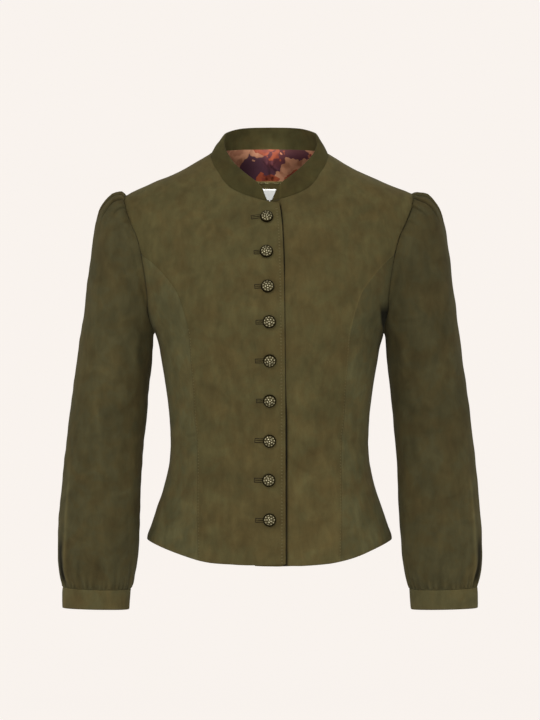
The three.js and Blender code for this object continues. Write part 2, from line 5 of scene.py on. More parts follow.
import bmesh
import bpy
import numpy as np
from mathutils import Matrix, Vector


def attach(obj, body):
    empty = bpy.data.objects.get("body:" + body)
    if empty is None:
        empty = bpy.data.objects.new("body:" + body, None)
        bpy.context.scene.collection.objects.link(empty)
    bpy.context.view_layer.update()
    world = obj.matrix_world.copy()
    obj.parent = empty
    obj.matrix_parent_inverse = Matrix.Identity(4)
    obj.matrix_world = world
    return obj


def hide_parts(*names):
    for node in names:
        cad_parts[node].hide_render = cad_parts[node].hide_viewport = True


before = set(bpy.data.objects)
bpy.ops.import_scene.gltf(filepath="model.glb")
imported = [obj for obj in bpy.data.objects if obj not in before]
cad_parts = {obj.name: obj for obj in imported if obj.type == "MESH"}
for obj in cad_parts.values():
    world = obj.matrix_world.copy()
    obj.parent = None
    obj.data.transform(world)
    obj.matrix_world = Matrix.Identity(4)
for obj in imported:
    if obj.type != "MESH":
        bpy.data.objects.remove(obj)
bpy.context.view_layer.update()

# Driving dimensions in millimetres. Most are the solids' own, and the tables that differ from theirs say so
WALL, CUFF_WALL, COLLAR_WALL, LINING_WALL, LABEL_WALL = 1.8, 2.4, 2.2, 0.9, 0.6
SEAM_GAP = 0.08  # the cloth closes up most of the gap between the solids, which is 0.32
LAYER_GAP, LINING_GAP, OVERLAP_GAP = 0.35, 0.85, 0.8
STRIP_WALL = 0.35  # of the strips behind the seams
WAIST_Z, HEM_SIDE_Z = -388, -514
HEM_DROP_FRONT, HEM_DROP_BACK, UNDERLAP_DROP = 27.5, 22, 1.5
ARMHOLE_TOP_Z, ARMPIT_Z = -57, -240
ARMHOLE_FRONT, ARMHOLE_BACK, ARMHOLE_ROUND = 46, 50, 0.9
UNDERLAP_X = 19
CAP_CROWD = 0.55
PRINCESS_TOP_Z = -138
BLOCK_Z, NECK_SIDE_Z = -100.6, 1.5  # where the rows start to bend, and the neckline's height at its side
MM = 0.001
SIDES = (("right", -1), ("left", 1))  # the wearer's


def table(names, *rows):
    return {name: np.array([row[i] for row in rows], float) for i, name in enumerate(names.split())}


BODY = table(
    "z half front back square",
    (-545, 163.4, 113, 112, 1.86), (-514, 163.3, 112, 111, 1.86), (-495, 157.3, 109, 107, 1.92),
    (-473, 149.7, 105, 102, 2.0), (-452, 142.3, 102, 97, 2.07), (-431, 136.8, 99.5, 92, 2.12),
    (-410, 133.2, 98, 88, 2.15), (-388, 131.8, 97, 86, 2.17), (-356, 133.1, 99, 87.5, 2.17),
    (-335, 135.3, 102, 90, 2.17), (-314, 138.1, 106, 93.5, 2.17), (-292, 141.6, 110.5, 97, 2.17),
    (-271, 145.2, 115, 100, 2.16), (-250, 149.2, 118, 103, 2.15), (-240, 152.6, 118.4, 104, 2.15),
    (-230, 159, 118, 105, 2.15), (-214, 166, 116.4, 106.5, 2.15), (-190, 171.5, 112, 107.5, 2.15),
    (-150, 184, 103, 107.5, 2.1), (-130, 191.5, 97.5, 106, 2.04), (-112, 199, 91, 103, 2.0),
    (-95, 206.5, 83, 99, 2.0), (-83, 208.5, 77, 95.5, 2.0), (-75, 207.5, 73, 93, 2.01),
    (-68, 204, 69.5, 90.5, 2.03), (-62, 198.5, 66.7, 88, 2.06), (-57, 191, 64.5, 86, 2.08),
    (-49, 175.4, 60.5, 82.5, 2.1), (-41, 156.3, 57.2, 79, 2.1), (-33, 137, 54.2, 75.5, 2.1),
    (-25, 119.6, 51.4, 72, 2.1), (-17, 105, 48.8, 68.5, 2.1), (-9, 91.5, 46.5, 65, 2.1),
    (0, 77.5, 44, 61.5, 2.1), (12, 66, 41, 57, 2.1),
)
NECKLINE = table(  # up to 3 mm higher at the sides than in the solids
    "angle z",
    (0, -69.5), (1, -68.7), (7.8, -61.6), (13.6, -53.6), (21.5, -41), (31.4, -28.3), (56.7, -9.2), (90, 1.5),
    (120, 5.2), (150, 8), (180, 9),
)
COLLAR_TOP = table(
    "angle x y z",
    (0.9, 10.6, -61, -49), (7.8, 17.2, -57, -42.5), (13.6, 28, -51, -34), (21.5, 39.5, -43, -24),
    (31.4, 50, -34, -13), (56.7, 60, -19, 3), (78, 63, -8, 14), (98, 62, 5, 24), (118, 55, 23, 30),
    (140, 40, 39, 35), (160, 21, 48.5, 37), (180, 0, 51, 37.5),
)
PRINCESS = table(
    "z x",
    (-545, 92.5), (-505, 92.5), (-456, 94), (-398, 94), (-345, 98), (-307, 100), (-277, 102.5), (-250, 104),
    (-231, 107), (-213, 112), (-190, 120), (-170, 134), (-150, 153), (-137.5, 170),
)
FRONT_EDGE = table(  # one to two millimetres nearer the centre than in the solids
    "z x",
    (-545, 20.3), (-380, 20.1), (-330, 19.9), (-237, 19), (-200, 18.6), (-150, 17.8), (-125, 16.9), (-104, 16),
    (-88, 14.5), (-72, 12.3),
)
SLEEVE = table(
    "ring outX outZ inX inZ half y",
    (1, 197.5, -51.5, 153.2, -241.2, 50.5, 1.6), (2, 206.5, -52.5, 153.5, -242.6, 54.5, 1.2),
    (3, 217, -61, 153.8, -244, 57, 1), (4, 226.5, -76, 154, -246, 58.5, 1),
    (5, 233.5, -101, 154.4, -249, 59.5, 1), (6, 238.8, -138, 155, -254, 60, 0.5),
    (7, 244.5, -186, 156.2, -265, 59.5, 0), (8, 251.5, -240, 158.2, -287, 58.5, -1),
    (9, 259.5, -300, 161.5, -322, 56.5, -3), (10, 267.5, -364, 165.6, -368, 54, -6.5),
    (11, 274, -420, 169.6, -420, 51, -10.5), (12, 279, -468, 171.6, -468, 49, -13.5),
    (13, 281.6, -504, 172.8, -504, 47.5, -15.5), (14, 282, -530, 174.5, -530, 46, -16.8),
    (15, 281.3, -548, 177, -548.5, 43.5, -17.5), (16, 279.2, -562, 180, -563.5, 40.5, -17.8),
    (17, 277, -571, 183, -573, 37, -18), (18, 275.8, -577.2, 185.6, -579.9, 34.5, -18),
)
CUFF = table(  # its first ring is 0.25 mm nearer the sleeve than in the solids
    "ring outX outZ inX inZ half y",
    (0, 275.9, -577.35, 185.4, -580.05, 34.6, -18), (1, 276.6, -587, 186, -589.4, 34.8, -18),
    (2, 276.6, -597, 187, -599, 34.6, -18), (3, 276.4, -605, 187.6, -607, 34.2, -18),
)
BUTTONS = [  # centres, up to 2 mm lower than in the solids
    (-3.6, -91.6), (-3.9, -137.0), (-2.4, -182.1), (-0.3, -227.9), (0.4, -277.5), (0.3, -329.3), (0.1, -381.6),
    (-0.9, -432.1), (0.1, -483.1),
]


# ---------------------------------------------------------------- shape of the body

def smooth(v, start=0, width=1):
    """Rises softly from 0 at start to 1 a width further on, or backwards where the width is negative."""
    t = np.clip((v - start) / width, 0, 1)
    return t * t * (3 - 2 * t)


def bell(v, width, power=2):
    return np.exp(-((v / width) ** power))


def column(rows, key, name):
    """A smooth curve through a table's column, with no overshoot between its rows."""
    xs, ys = rows[key], rows[name]
    d = np.diff(ys) / np.diff(xs)
    slope = np.empty_like(xs)
    slope[0], slope[-1] = d[0], d[-1]
    a, b = d[:-1], d[1:]
    with np.errstate(divide="ignore", invalid="ignore"):
        slope[1:-1] = np.where(a * b <= 0, 0, 2 * a * b / np.where(a + b == 0, 1, a + b))

    def at(x):
        v = np.clip(x, xs[0], xs[-1])
        i = np.clip(np.searchsorted(xs, v, side="right") - 1, 0, len(xs) - 2)
        h = xs[i + 1] - xs[i]
        t = (v - xs[i]) / h
        rise = (1 + 2 * t) * (1 - t) ** 2 * ys[i] + t * t * (3 - 2 * t) * ys[i + 1]
        return rise + h * t * (1 - t) * ((1 - t) * slope[i] - t * slope[i + 1])

    return at


# How much lower the hem hangs than the solids' even curve, on the wearer's right and left
HEM_HANG = table(
    "angle right left",
    (-20, -1.4, -1.3), (0, -1.4, -1.3), (6, -0.8, -0.8), (10, -0.2, 0.2), (15, 0.5, 1.6), (19.5, 1.1, 2.4),
    (23.5, 2.0, 3.1), (27.5, 2.9, 3.9), (31.5, 3.5, 4.6), (36, 3.7, 4.9), (40.5, 3.3, 5.0), (45.5, 2.8, 4.7),
    (51, 2.4, 4.0), (57, 2.0, 2.9), (64, 1.6, 2.1), (74, 1.3, 1.3), (90, 0.8, 0.8), (112, 0, 0), (180, 0, 0),
)
half_at, front_at, back_at, square_at = (column(BODY, "z", name) for name in ("half", "front", "back", "square"))
neck_at = column(NECKLINE, "angle", "z")
princess_at = column(PRINCESS, "z", "x")
hang_at = {-1: column(HEM_HANG, "angle", "right"), 1: column(HEM_HANG, "angle", "left")}
front_edge_at = column(FRONT_EDGE, "z", "x")


def body(angle, z, side):
    angle, z = np.broadcast_arrays(np.asarray(angle, float), np.asarray(z, float))
    power = 2 / square_at(z)
    s, c = np.sin(angle), np.cos(angle)
    depth = np.where(c > 0, -front_at(z), back_at(z))
    drop = np.where(c > 0, HEM_DROP_FRONT, HEM_DROP_BACK) * c * c
    low = z - np.clip(drop * (WAIST_Z - z) / (WAIST_Z - HEM_SIDE_Z), 0, None)
    x = side * np.sign(s) * half_at(z) * np.abs(s) ** power
    return np.stack([x, depth * np.abs(c) ** power, low], -1)


def unit(v):
    return v / np.maximum(np.linalg.norm(v, axis=-1, keepdims=True), 1e-9)


def body_normal(angle, z, side):
    turn = 0.03
    along = body(angle + turn, z, side) - body(angle - turn, z, side)
    up = body(angle, z + 1, side) - body(angle, z - 1, side)
    return unit(np.cross(along, up)) * np.asarray(side, float)[..., None]


def angle_of_x(x, z):
    s = (np.abs(x) / half_at(z)) ** (square_at(z) / 2)
    return np.sign(x) * np.arcsin(np.clip(s, 0, 1))


def angle_of_y(y, z, behind):
    depth = back_at(z) if behind else front_at(z)
    c = (np.abs(y) / depth) ** (square_at(z) / 2)
    angle = np.arccos(np.clip(c, 0, 1))
    return math.pi - angle if behind else angle


def body_x(y, z):
    depth = np.where(y < 0, front_at(z), back_at(z))
    n = square_at(z)
    return half_at(z) * np.clip(1 - (np.abs(y) / depth) ** n, 0, None) ** (1 / n)


MID_Z = (ARMHOLE_TOP_Z + ARMPIT_Z) / 2
HALF_Z = (ARMHOLE_TOP_Z - ARMPIT_Z) / 2


def edge_y(z, behind):
    """How far the body's edge stands from the shoulder line or side seam at a height."""
    c = np.clip((z - MID_Z) / (HALF_Z + SEAM_GAP), -1, 1)
    reach = (ARMHOLE_BACK if behind else ARMHOLE_FRONT) + SEAM_GAP
    y = reach * np.sqrt(1 - c * c) ** ARMHOLE_ROUND
    return np.maximum(SEAM_GAP / 2, y)


def outer_angle(z, behind):
    return angle_of_y(edge_y(z, behind), z, behind)


def neck_height(angle):
    angle = np.asarray(angle, float)
    fall = NECKLINE["z"][0] - 24 * np.minimum(0.1, -angle)
    return np.where(angle >= 0, neck_at(np.degrees(angle)), fall)


# ---------------------------------------------------------------- cloth

def noise(points, size, seed):
    """A smooth unevenness from -1 to 1 over points in millimetres, the same every time."""
    rng = np.random.default_rng(seed)
    total = np.zeros(points.shape[:-1])
    for _ in range(7):
        way = unit(rng.normal(size=3)) * 2 * math.pi / (size * rng.uniform(0.6, 1.7))
        total += np.sin(points @ way + rng.uniform(0, 2 * math.pi))
    return total / 3.2


def grid_normals(p, ring, out):
    if ring:
        along = np.roll(p, -1, 1) - np.roll(p, 1, 1)
    else:
        along = np.empty_like(p)
        along[:, 1:-1] = p[:, 2:] - p[:, :-2]
        along[:, 0] = p[:, 1] - p[:, 0]
        along[:, -1] = p[:, -1] - p[:, -2]
    up = np.empty_like(p)
    up[1:-1] = p[2:] - p[:-2]
    up[0] = p[1] - p[0]
    up[-1] = p[-1] - p[-2]
    return unit(np.cross(along, up)) * out


def link(name, data):
    obj = bpy.data.objects.new(name, data)
    bpy.context.scene.collection.objects.link(obj)
    return obj


def mesh_object(name, points, faces, slots=None, tone=None):
    mesh = bpy.data.meshes.new(name)
    mesh.from_pydata([tuple(v) for v in np.asarray(points) * MM], [], faces)
    mesh.validate()
    if tone is not None:
        layer = mesh.attributes.new("tone", "FLOAT", "POINT")
        layer.data.foreach_set("value", np.asarray(tone, np.float32))
    if slots is not None:
        mesh.polygons.foreach_set("material_index", np.asarray(slots, np.int32))
    mesh.polygons.foreach_set("use_smooth", np.ones(len(mesh.polygons), bool))
    mesh.update()
    return link(name, mesh)


def tidy(obj):
    """Drops loose points and turns every face outward."""
    work = bmesh.new()
    work.from_mesh(obj.data)
    bmesh.ops.delete(work, geom=[v for v in work.verts if not v.link_faces], context="VERTS")
    bmesh.ops.recalc_face_normals(work, faces=work.faces[:])
    work.to_mesh(obj.data)
    work.free()
    return obj


def shell(name, outer, normals, thickness, ring=False, tone=None, round_by=None):
    """A closed thin wall: the outer grid, the inner one and a rounded rim."""
    rows, cols = outer.shape[:2]
    size = rows * cols
    points = [outer.reshape(-1, 3), (outer - normals * thickness).reshape(-1, 3)]
    tones = (np.ones((rows, cols)) if tone is None else tone).ravel()
    shade = [tones, tones]
    index = np.arange(size).reshape(rows, cols)
    here, after = (index, np.roll(index, -1, 1)) if ring else (index[:, :-1], index[:, 1:])
    quads = np.stack([here[:-1], after[:-1], after[1:], here[1:]], -1).reshape(-1, 4)
    faces = quads.tolist() + (quads + size)[:, ::-1].tolist()
    slots = [0] * len(quads) + [1] * len(quads)

    def strip(a, b):
        for k in range(len(a) if ring else len(a) - 1):
            j = (k + 1) % len(a)
            faces.append((int(a[k]), int(a[j]), int(b[j]), int(b[k])))
            slots.append(0)

    count = 2 * size
    edges = {"low": (index[0], outer[0] - outer[1]), "high": (index[-1], outer[-1] - outer[-2])}
    if not ring:
        edges["left"] = (index[:, 0], outer[:, 0] - outer[:, 1])
        edges["right"] = (index[:, -1], outer[:, -1] - outer[:, -2])
    rims = {}
    for key, (line, away) in edges.items():
        bulge = (round_by or {}).get(key, 0.1)
        rims[key] = np.arange(count, count + len(line))
        points.append((points[0][line] + points[1][line]) / 2 + unit(away) * bulge)
        shade.append(tones[line])
        count += len(line)
    if not ring:  # one corner point is shared by two rims
        for one, i in (("low", 0), ("high", -1)):
            for other, j in (("left", 0), ("right", -1)):
                rims[other][i] = rims[one][j]
    for key, (line, _) in edges.items():
        way = -1 if key in ("low", "right") else 1
        line, middle = line[::way], rims[key][::way]
        strip(line, middle)
        strip(middle, line + size)
    return tidy(mesh_object(name, np.concatenate(points), faces, slots, np.concatenate(shade)))


EDGE_STEPS = np.array([0, 0.45, 1.0, 1.6, 2.4, 3.3, 4.2, 5.4])


def travel(line):
    """How far each point of a line lies from its start, along the line."""
    return np.concatenate([[0], np.cumsum(np.linalg.norm(np.diff(line, axis=0), axis=1))])


def between(x, xs, points):
    """The point at x on a line whose points lie at xs."""
    return np.array([np.interp(x, xs, points[:, k]) for k in range(3)])


def trace(path, side, cols, knots=None):
    """Points of a row: close together at its ends and between the knots, even elsewhere."""
    f = np.linspace(0, 1, 161)
    angle, z = path(f)
    pts = body(angle, z, side)
    length = travel(pts)
    total = length[-1]
    ends = EDGE_STEPS * min(1, total / 15)
    if knots is None:
        middle = np.linspace(ends[-1], total - ends[-1], cols - 2 * len(ends) + 2)[1:-1]
    else:
        fine = np.interp(knots, side * pts[:, 0], length)
        before = np.linspace(ends[-1], fine[0], 12)[1:-1]
        after = np.linspace(fine[-1], total - ends[-1], cols - 2 * len(ends) - 8)[1:-1]
        middle = np.concatenate([before, fine, after])
    want = np.concatenate([ends, middle, total - ends[::-1]])
    return path(np.interp(want, length, f))


def distances(p):
    """Distance of each grid point from the left, right, lower and upper edges along the grid."""
    step = np.linalg.norm(np.diff(p, axis=1), axis=2)
    left = np.concatenate([np.zeros((len(p), 1)), np.cumsum(step, 1)], 1)
    step = np.linalg.norm(np.diff(p, axis=0), axis=2)
    low = np.concatenate([np.zeros((1, p.shape[1])), np.cumsum(step, 0)], 0)
    return left, left[:, -1:] - left, low, low[-1:] - low


def dip(d, depth, width):
    return depth * bell(d, width)


def to_line(p, line):
    """Distance in the front view from grid points to a polyline of x and z, and how far along it is."""
    line = np.asarray(line, float)
    best = np.full(p.shape[:-1], 1e9)
    where = np.zeros(p.shape[:-1])
    q = p[..., [0, 2]]
    for k in range(len(line) - 1):
        a, b = line[k], line[k + 1]
        t = np.clip(((q - a) @ (b - a)) / max(1e-9, (b - a) @ (b - a)), 0, 1)
        d = np.linalg.norm(q - (a + t[..., None] * (b - a)), axis=-1)
        closer = d < best
        best = np.where(closer, d, best)
        where = np.where(closer, (k + t) / (len(line) - 1), where)
    return best, where


def crease(p, line, depth, width, behind=False):
    """A soft trough along a given line, fading at its ends, with a low ridge on each flank."""
    d, where = to_line(p, line)
    fade = np.sin(np.pi * np.clip(where, 0, 1)) ** 0.7
    on = (p[..., 1] > 0) if behind else (p[..., 1] < 0)
    trough = bell(d, width) * fade * on
    ridge = bell(d - 2.1 * width, width) * fade * on
    # the second value is painted shade in the trough, with a faint painted highlight on the ridges
    return depth * (0.45 * ridge - trough), depth * (0.2 * ridge - trough)


panels = {}


def unevenness(p):
    """How far the body's cloth stands off its true surface away from its edges."""
    return 0.5 * noise(p, 46, 5) + 0.28 * noise(p, 19, 9)


def shoulder_lift(p, side):
    """How the shoulder line differs from the solids' curve: straighter on the wearer's left."""
    if side < 0:
        return np.zeros(p.shape[:-1])
    x, near = p[..., 0], smooth(p[..., 2], -84, 22)
    return near * (2.3 * bell(x - 192, 9) - 1.2 * bell(x - 166, 12))


def inset(p, side):
    """Moves the seam of the wearer's left armhole inwards on the front, where it lies further in."""
    if side < 0:
        return p
    x, y, z = p[..., 0], p[..., 1], p[..., 2]
    past = x - body_x(edge_y(z, False), z)
    width = 8 + 10 * smooth(z, -66, -50)
    move = 4.4 * bell(past, width) * smooth(z, -247, 24) * smooth(y, 30, -30)
    rise = 0.43 * smooth(z, -90, 24) * np.where(past > 0, bell(past, 4), 1)
    return p + np.stack([-move, 0 * move, rise * move], -1)


def panel(name, paths, side, cols, sink=None, creases=(), round_by=None, seams=None, knots=None, shade=None):
    angles, heights = [], []
    for path in paths:
        angle, z = trace(path, side, cols, knots)
        angles.append(angle)
        heights.append(z)
    angle, z = np.array(angles), np.array(heights)
    z = z - hang_at[side](np.degrees(angle)) * smooth(z, -440, -70)
    p = body(angle, z, side)
    n = body_normal(angle, z, side)
    left, right, low, high = distances(p)
    rest = np.minimum.reduce([left, right, low, high])
    move = unevenness(p) * smooth(rest / 12)
    tone = 1 + 0.04 * noise(p, 70, 21) + 0.035 * noise(p, 28, 22)
    on_armhole = (p[..., 2] > ARMPIT_Z - 1) & (p[..., 2] < ARMHOLE_TOP_Z + 1)
    for key, d in (("left", left), ("right", right), ("low", low), ("high", high)):
        deep, dark = (seams or {}).get(key, (0, 0))
        if key == "right" and dark:
            dark = np.where(on_armhole, 0.06 * smooth(p[..., 2], -70, -60), dark)
            deep = np.where(on_armhole, 0.32 if side < 0 else 0.15, deep)
        move -= deep * dip(d, 1, 1.3)
        # painted shade in each seam's groove
        tone -= dark * dip(d, 1, 0.8)
    for line, depth, width, behind in creases:
        step, trough = crease(p, line, depth, width, behind)
        move += step
        # painted shade in each fold, with a faint painted highlight on its ridges
        tone += 0.05 * trough
    if shade is not None:
        tone += shade(p)
    if sink is not None:
        move -= sink(p)
    move += shoulder_lift(p, side)
    p = inset(p + n * move[..., None], side)
    obj = shell(name, p, n, WALL * 0.92, tone=tone, round_by=round_by)
    panels[name] = (p, n, left, right)
    return obj


def fine_rows(lowest, highest):
    """Heights of the rows: close together at both ends and along the round parts of the armhole."""
    round_part = MID_Z + (HALF_Z + SEAM_GAP) * np.cos(np.linspace(0, math.pi, 46))
    hem = HEM_SIDE_Z + EDGE_STEPS
    even = np.linspace(HEM_SIDE_Z + 8, ARMPIT_Z - 4, 66)
    z = np.unique(np.concatenate([hem, even, round_part]).round(3))
    apart = [z[0]]
    for value in z[1:]:
        if value - apart[-1] >= (0.4 if value < HEM_SIDE_Z + 6 else 1.0):
            apart.append(value)
    z = np.array(apart)
    return z[(z >= lowest) & (z <= highest)]


SHOULDER = np.array([-53, -49, -45, -41, -37, -33, -29, -25, -21, -17, -13, -9.5, -6.5, -4, -2, -0.5, 0.4, 1, 1.5])


def block_path(z, inner, behind):
    rise = (z - BLOCK_Z) / (NECK_SIDE_Z - BLOCK_Z)
    end = outer_angle(z, behind)
    top_end = outer_angle(NECK_SIDE_Z, behind)
    top_start = inner(neck_at(180 if behind else 0))
    start = inner(BLOCK_Z + rise * (neck_height(top_start) - BLOCK_Z))

    def path(f):
        neck = neck_height(top_start + (top_end - top_start) * f)
        return start + (end - start) * f, BLOCK_Z + rise * (neck - BLOCK_Z)

    return path


def block_rows():
    z = fine_rows(BLOCK_Z, NECK_SIDE_Z)
    return np.concatenate([z[z < -54], SHOULDER])


def front(name, side, edge, sink, drop, creases, round_by, knots=None, shade=None):
    def inner(z):
        return -angle_of_x(edge(z), z)

    paths = []
    for z in fine_rows(HEM_SIDE_Z, BLOCK_Z - 0.2):
        outer = outer_angle(z, False) if z >= PRINCESS_TOP_Z else angle_of_x(princess_at(z) - SEAM_GAP / 2, z)
        outer = min(outer, outer_angle(z, False))
        low = drop * smooth((WAIST_Z - z) / (WAIST_Z - HEM_SIDE_Z))

        def path(f, z=z, outer=outer, low=low):
            angle = inner(z) + (outer - inner(z)) * f
            return angle, z - low * smooth((math.radians(14) - angle) / math.radians(10))

        paths.append(path)
    paths += [block_path(z, inner, False) for z in block_rows()]
    seams = {"right": (0.3, 0.05), "high": (0.45, 0.14)}
    return panel(name, paths, side, 62, sink, creases, round_by, seams, knots, shade)


def level(z, start, end):
    """A row at one height, from one angle to another."""
    return lambda f: (start + (end - start) * f, np.full_like(f, z))


def armpit_shade(side):
    """Painted shade along the body's edge under each arm and, on the wearer's left only, in the recess where the
    sleeve leaves the body and over the side panel's top; a painted highlight along the curved seam on the wearer's
    right.
    """
    def shade(p):
        x, z = np.abs(p[..., 0]), p[..., 2]
        rim = bell(half_at(z) - x, 2.6) * smooth(z, -285, 45) * smooth(z, -200, -30)
        edge = 146 + 0.22 * (-208 - z)
        recess = smooth((x - edge + 1.5) / 4) * smooth(z, -198, -17) * smooth(z, -253, 8)
        recess = recess * (0.65 + 0.3 * smooth(z, -208, -15))
        seam = x - princess_at(z)
        lit = bell(seam, 13) * smooth(z, -290, 60)
        if side < 0:
            return -0.5 * rim + 0.08 * lit
        return -0.5 * rim - recess - 0.2 * smooth(z, -310, 90) * smooth((x - princess_at(z) + 0.5) / 2)
    return shade


def side_front(name, side, creases):
    paths = []
    for z in fine_rows(HEM_SIDE_Z, PRINCESS_TOP_Z - 0.9):
        outer = outer_angle(z, False)
        paths.append(level(z, min(angle_of_x(princess_at(z) + SEAM_GAP / 2, z), outer - 0.01), outer))
    seams = {"left": (0.3, 0.04), "right": (0.4, 0.12), "high": (0.3, 0.05)}
    return panel(name, paths, side, 36, None, creases, {"low": 0.5}, seams, shade=armpit_shade(side))


def back(name, side, creases):
    def inner(z):
        return math.pi - angle_of_x(SEAM_GAP / 2, z)

    paths = [level(z, inner(z), outer_angle(z, True)) for z in fine_rows(HEM_SIDE_Z, BLOCK_Z - 0.2)]
    paths += [block_path(z, inner, True) for z in block_rows()]
    seams = {"left": (0.5, 0.14), "right": (0.4, 0.12), "high": (0.45, 0.14)}
    return panel(name, paths, side, 66, None, creases, {"low": 0.5}, seams)


def under_sink(p):
    beyond = p[..., 0] - front_edge_at(p[..., 2])
    run = 4 + 14 * smooth(p[..., 2], -76, -60)
    covered = smooth(p[..., 2], -65, -5.5)
    return (WALL + OVERLAP_GAP) * (1 - smooth(beyond / run)) * covered


def left_shade(p):
    """Painted light and shade on the wearer's left front: the edge's shadow, painted light over its lower part and a
    painted highlight along its seam.
    """
    z = p[..., 2]
    rim = bell(p[..., 0] - princess_at(z), 1.5) * smooth(z, -330, 60) * smooth(z, -136, -6)
    return edge_shadow(p) + 0.16 * smooth(z, -395, -80) + 0.32 * rim


def edge_shadow(p):
    """The dark line the upper front's edge leaves on the lower one."""
    z = p[..., 2]
    gap = p[..., 0] - front_edge_at(z) - 0.7
    wide = 1.8 - 0.85 * smooth(z, -130, -70) + 2.3 * smooth(z, -300, -70)
    return -0.96 * bell(gap, np.where(gap > 0, wide, 3.5), 4) * smooth(z, -71, -5)


# ---------------------------------------------------------------- materials

def linear(rgb):
    v = np.array(rgb, float) / 255
    return tuple(np.where(v <= 0.04045, v / 12.92, ((v + 0.055) / 1.055) ** 2.4))


class Material:
    """A new material, with short ways to add the nodes that the pieces here use."""

    def __init__(self, name, rough, sheen=0.0, sheen_tint=(1, 1, 1), metal=0.0, specular=0.3):
        self.made = bpy.data.materials.new(name)
        self.made.use_nodes = True
        self.tree = self.made.node_tree
        self.set("Roughness", rough)
        self.set("Metallic", metal)
        self.set("Specular IOR Level", specular)
        self.set("Sheen Weight", sheen)
        self.set("Sheen Roughness", 0.45)
        self.set("Sheen Tint", (*sheen_tint, 1))
        self.coord = self.add("TexCoord", "Object")

    def fill(self, socket, value):
        if isinstance(value, bpy.types.NodeSocket):
            self.tree.links.new(value, socket)
        else:
            socket.default_value = value

    def set(self, key, value):
        self.fill(self.tree.nodes["Principled BSDF"].inputs[key], value)

    def add(self, kind, output=0, sockets=(), **values):
        """An output of a new node, whose settings and inputs are given by name or by number."""
        made = self.tree.nodes.new("ShaderNode" + kind)
        for key, value in values.items():
            if hasattr(made, key):
                setattr(made, key, value)
            else:
                self.fill(made.inputs[key], value)
        for number, value in sockets:
            self.fill(made.inputs[number], value)
        return made.outputs[output]

    # The tone attribute carries each piece's random tone and its painted light and shade.
    def tone(self):
        return self.add("Attribute", "Fac", attribute_name="tone")

    def noise(self, scale, detail=2.0, rough=0.5, distort=0.0, coord=None):
        coord = self.coord if coord is None else coord
        return self.add(
            "TexNoise", "Fac", Vector=coord, Scale=scale, Detail=detail, Roughness=rough, Distortion=distort
        )

    def maths(self, operation, a, b):
        return self.add("Math", 0, ((0, a), (1, b)), operation=operation)

    def scaled(self, value, gain, plus):
        return self.maths("ADD", self.maths("MULTIPLY", value, gain), plus)

    def times(self, colour, factor):
        return self.add("VectorMath", 0, ((0, colour),), operation="SCALE", Scale=factor)

    def ramp(self, factor, *stops, read=linear):
        colour = self.add("ValToRGB", "Color", Fac=factor)
        band = colour.node.color_ramp.elements
        band.remove(band[-1])
        band[0].position = stops[0][0]
        band[0].color = (*read(stops[0][1]), 1)
        for place, rgb in stops[1:]:
            band.new(place).color = (*read(rgb), 1)
        return colour

    def finish(self, colour, height, strength, distance=0.0002):
        self.set("Base Color", colour)
        self.set("Normal", self.add("Bump", "Normal", Strength=strength, Distance=distance, Height=height))
        return self.made


def suede(name, brown, olive, green):
    """Napped suede: cloudy brown and green patches, brushed streaks and a fine nap."""
    m = Material(name, 0.93, 0.12, (0.55, 0.52, 0.32), specular=0.12)
    mix = m.scaled(m.noise(15, 3, 0.6, 0.8), 0.62, m.maths("MULTIPLY", m.noise(58, 3, 0.6, 0.5), 0.38))
    colour = m.ramp(mix, (0.36, brown), (0.47, olive), (0.56, green), (0.66, olive))
    stretched = m.add("Mapping", Vector=m.coord, Scale=(1.0, 1.0, 0.35), Rotation=(0.2, 0.5, 0.3))
    brushed = m.noise(90, 5, 0.62, 0.3, stretched)
    worn = m.noise(34, 2, 0.5, 1.0)
    nap = m.noise(1500, 2, 0.6)
    light = m.maths("MULTIPLY", m.scaled(brushed, 0.7, 0.65), m.scaled(worn, 0.6, 0.7))
    light = m.maths("MULTIPLY", m.maths("MULTIPLY", light, m.scaled(nap, 0.22, 0.89)), m.tone())
    return m.finish(m.times(colour, light), m.scaled(brushed, 1.5, nap), 0.35, 0.00025)


def satin(name):
    """Plain dark satin for the inside faces."""
    m = Material(name, 0.55, 0.1, (0.6, 0.4, 0.5))
    weave = m.noise(900)
    return m.finish(m.ramp(weave, (0.3, (48, 30, 37)), (0.7, (62, 40, 47))), weave, 0.3)


def print_lining(name):
    """Printed satin: loose leaves and blossoms of a generic kind, in plum, rust and dusty pink."""
    m = Material(name, 0.6, 0.1, (0.7, 0.5, 0.5))
    wobble = m.add("TexNoise", "Color", Vector=m.coord, Scale=60)
    shift = m.add("VectorMath", 0, ((0, wobble), (1, (0.016,) * 3), (2, m.coord)), operation="MULTIPLY_ADD")
    colour = m.ramp(m.noise(14, 1), (0.42, (74, 42, 54)), (0.6, (96, 39, 38)))
    for scale, offset, reach, first, second in (
        (16, 0.37, 0.50, (186, 130, 98), (152, 99, 72)),
        (19, 0.83, 0.42, (154, 72, 44), (124, 52, 36)),
        (44, 0.13, 0.26, (196, 128, 92), (120, 48, 44)),
    ):
        place = m.add("Mapping", Vector=shift, Location=(offset, offset * 2, offset * 3))
        cells = m.add("TexVoronoi", "Distance", Vector=place, Scale=scale, Randomness=0.9)
        petals = m.noise(scale * 5, 1, coord=place)
        inside = m.maths("LESS_THAN", m.scaled(petals, 0.3, cells), reach + 0.1)
        motif = m.ramp(petals, (0.42, first), (0.58, second))
        colour = m.add("Mix", 2, ((0, inside), (6, colour), (7, motif)), data_type="RGBA")
    weave = m.noise(1400)
    return m.finish(m.times(m.times(colour, m.tone()), m.scaled(weave, 0.3, 0.85)), weave, 0.3)


def plain_cloth(name, low, high, rough, scale):
    m = Material(name, rough, 0.05, specular=0.2)
    weave = m.noise(scale, 3, 0.6)
    return m.finish(m.ramp(weave, (0.35, low), (0.65, high)), weave, 0.4)


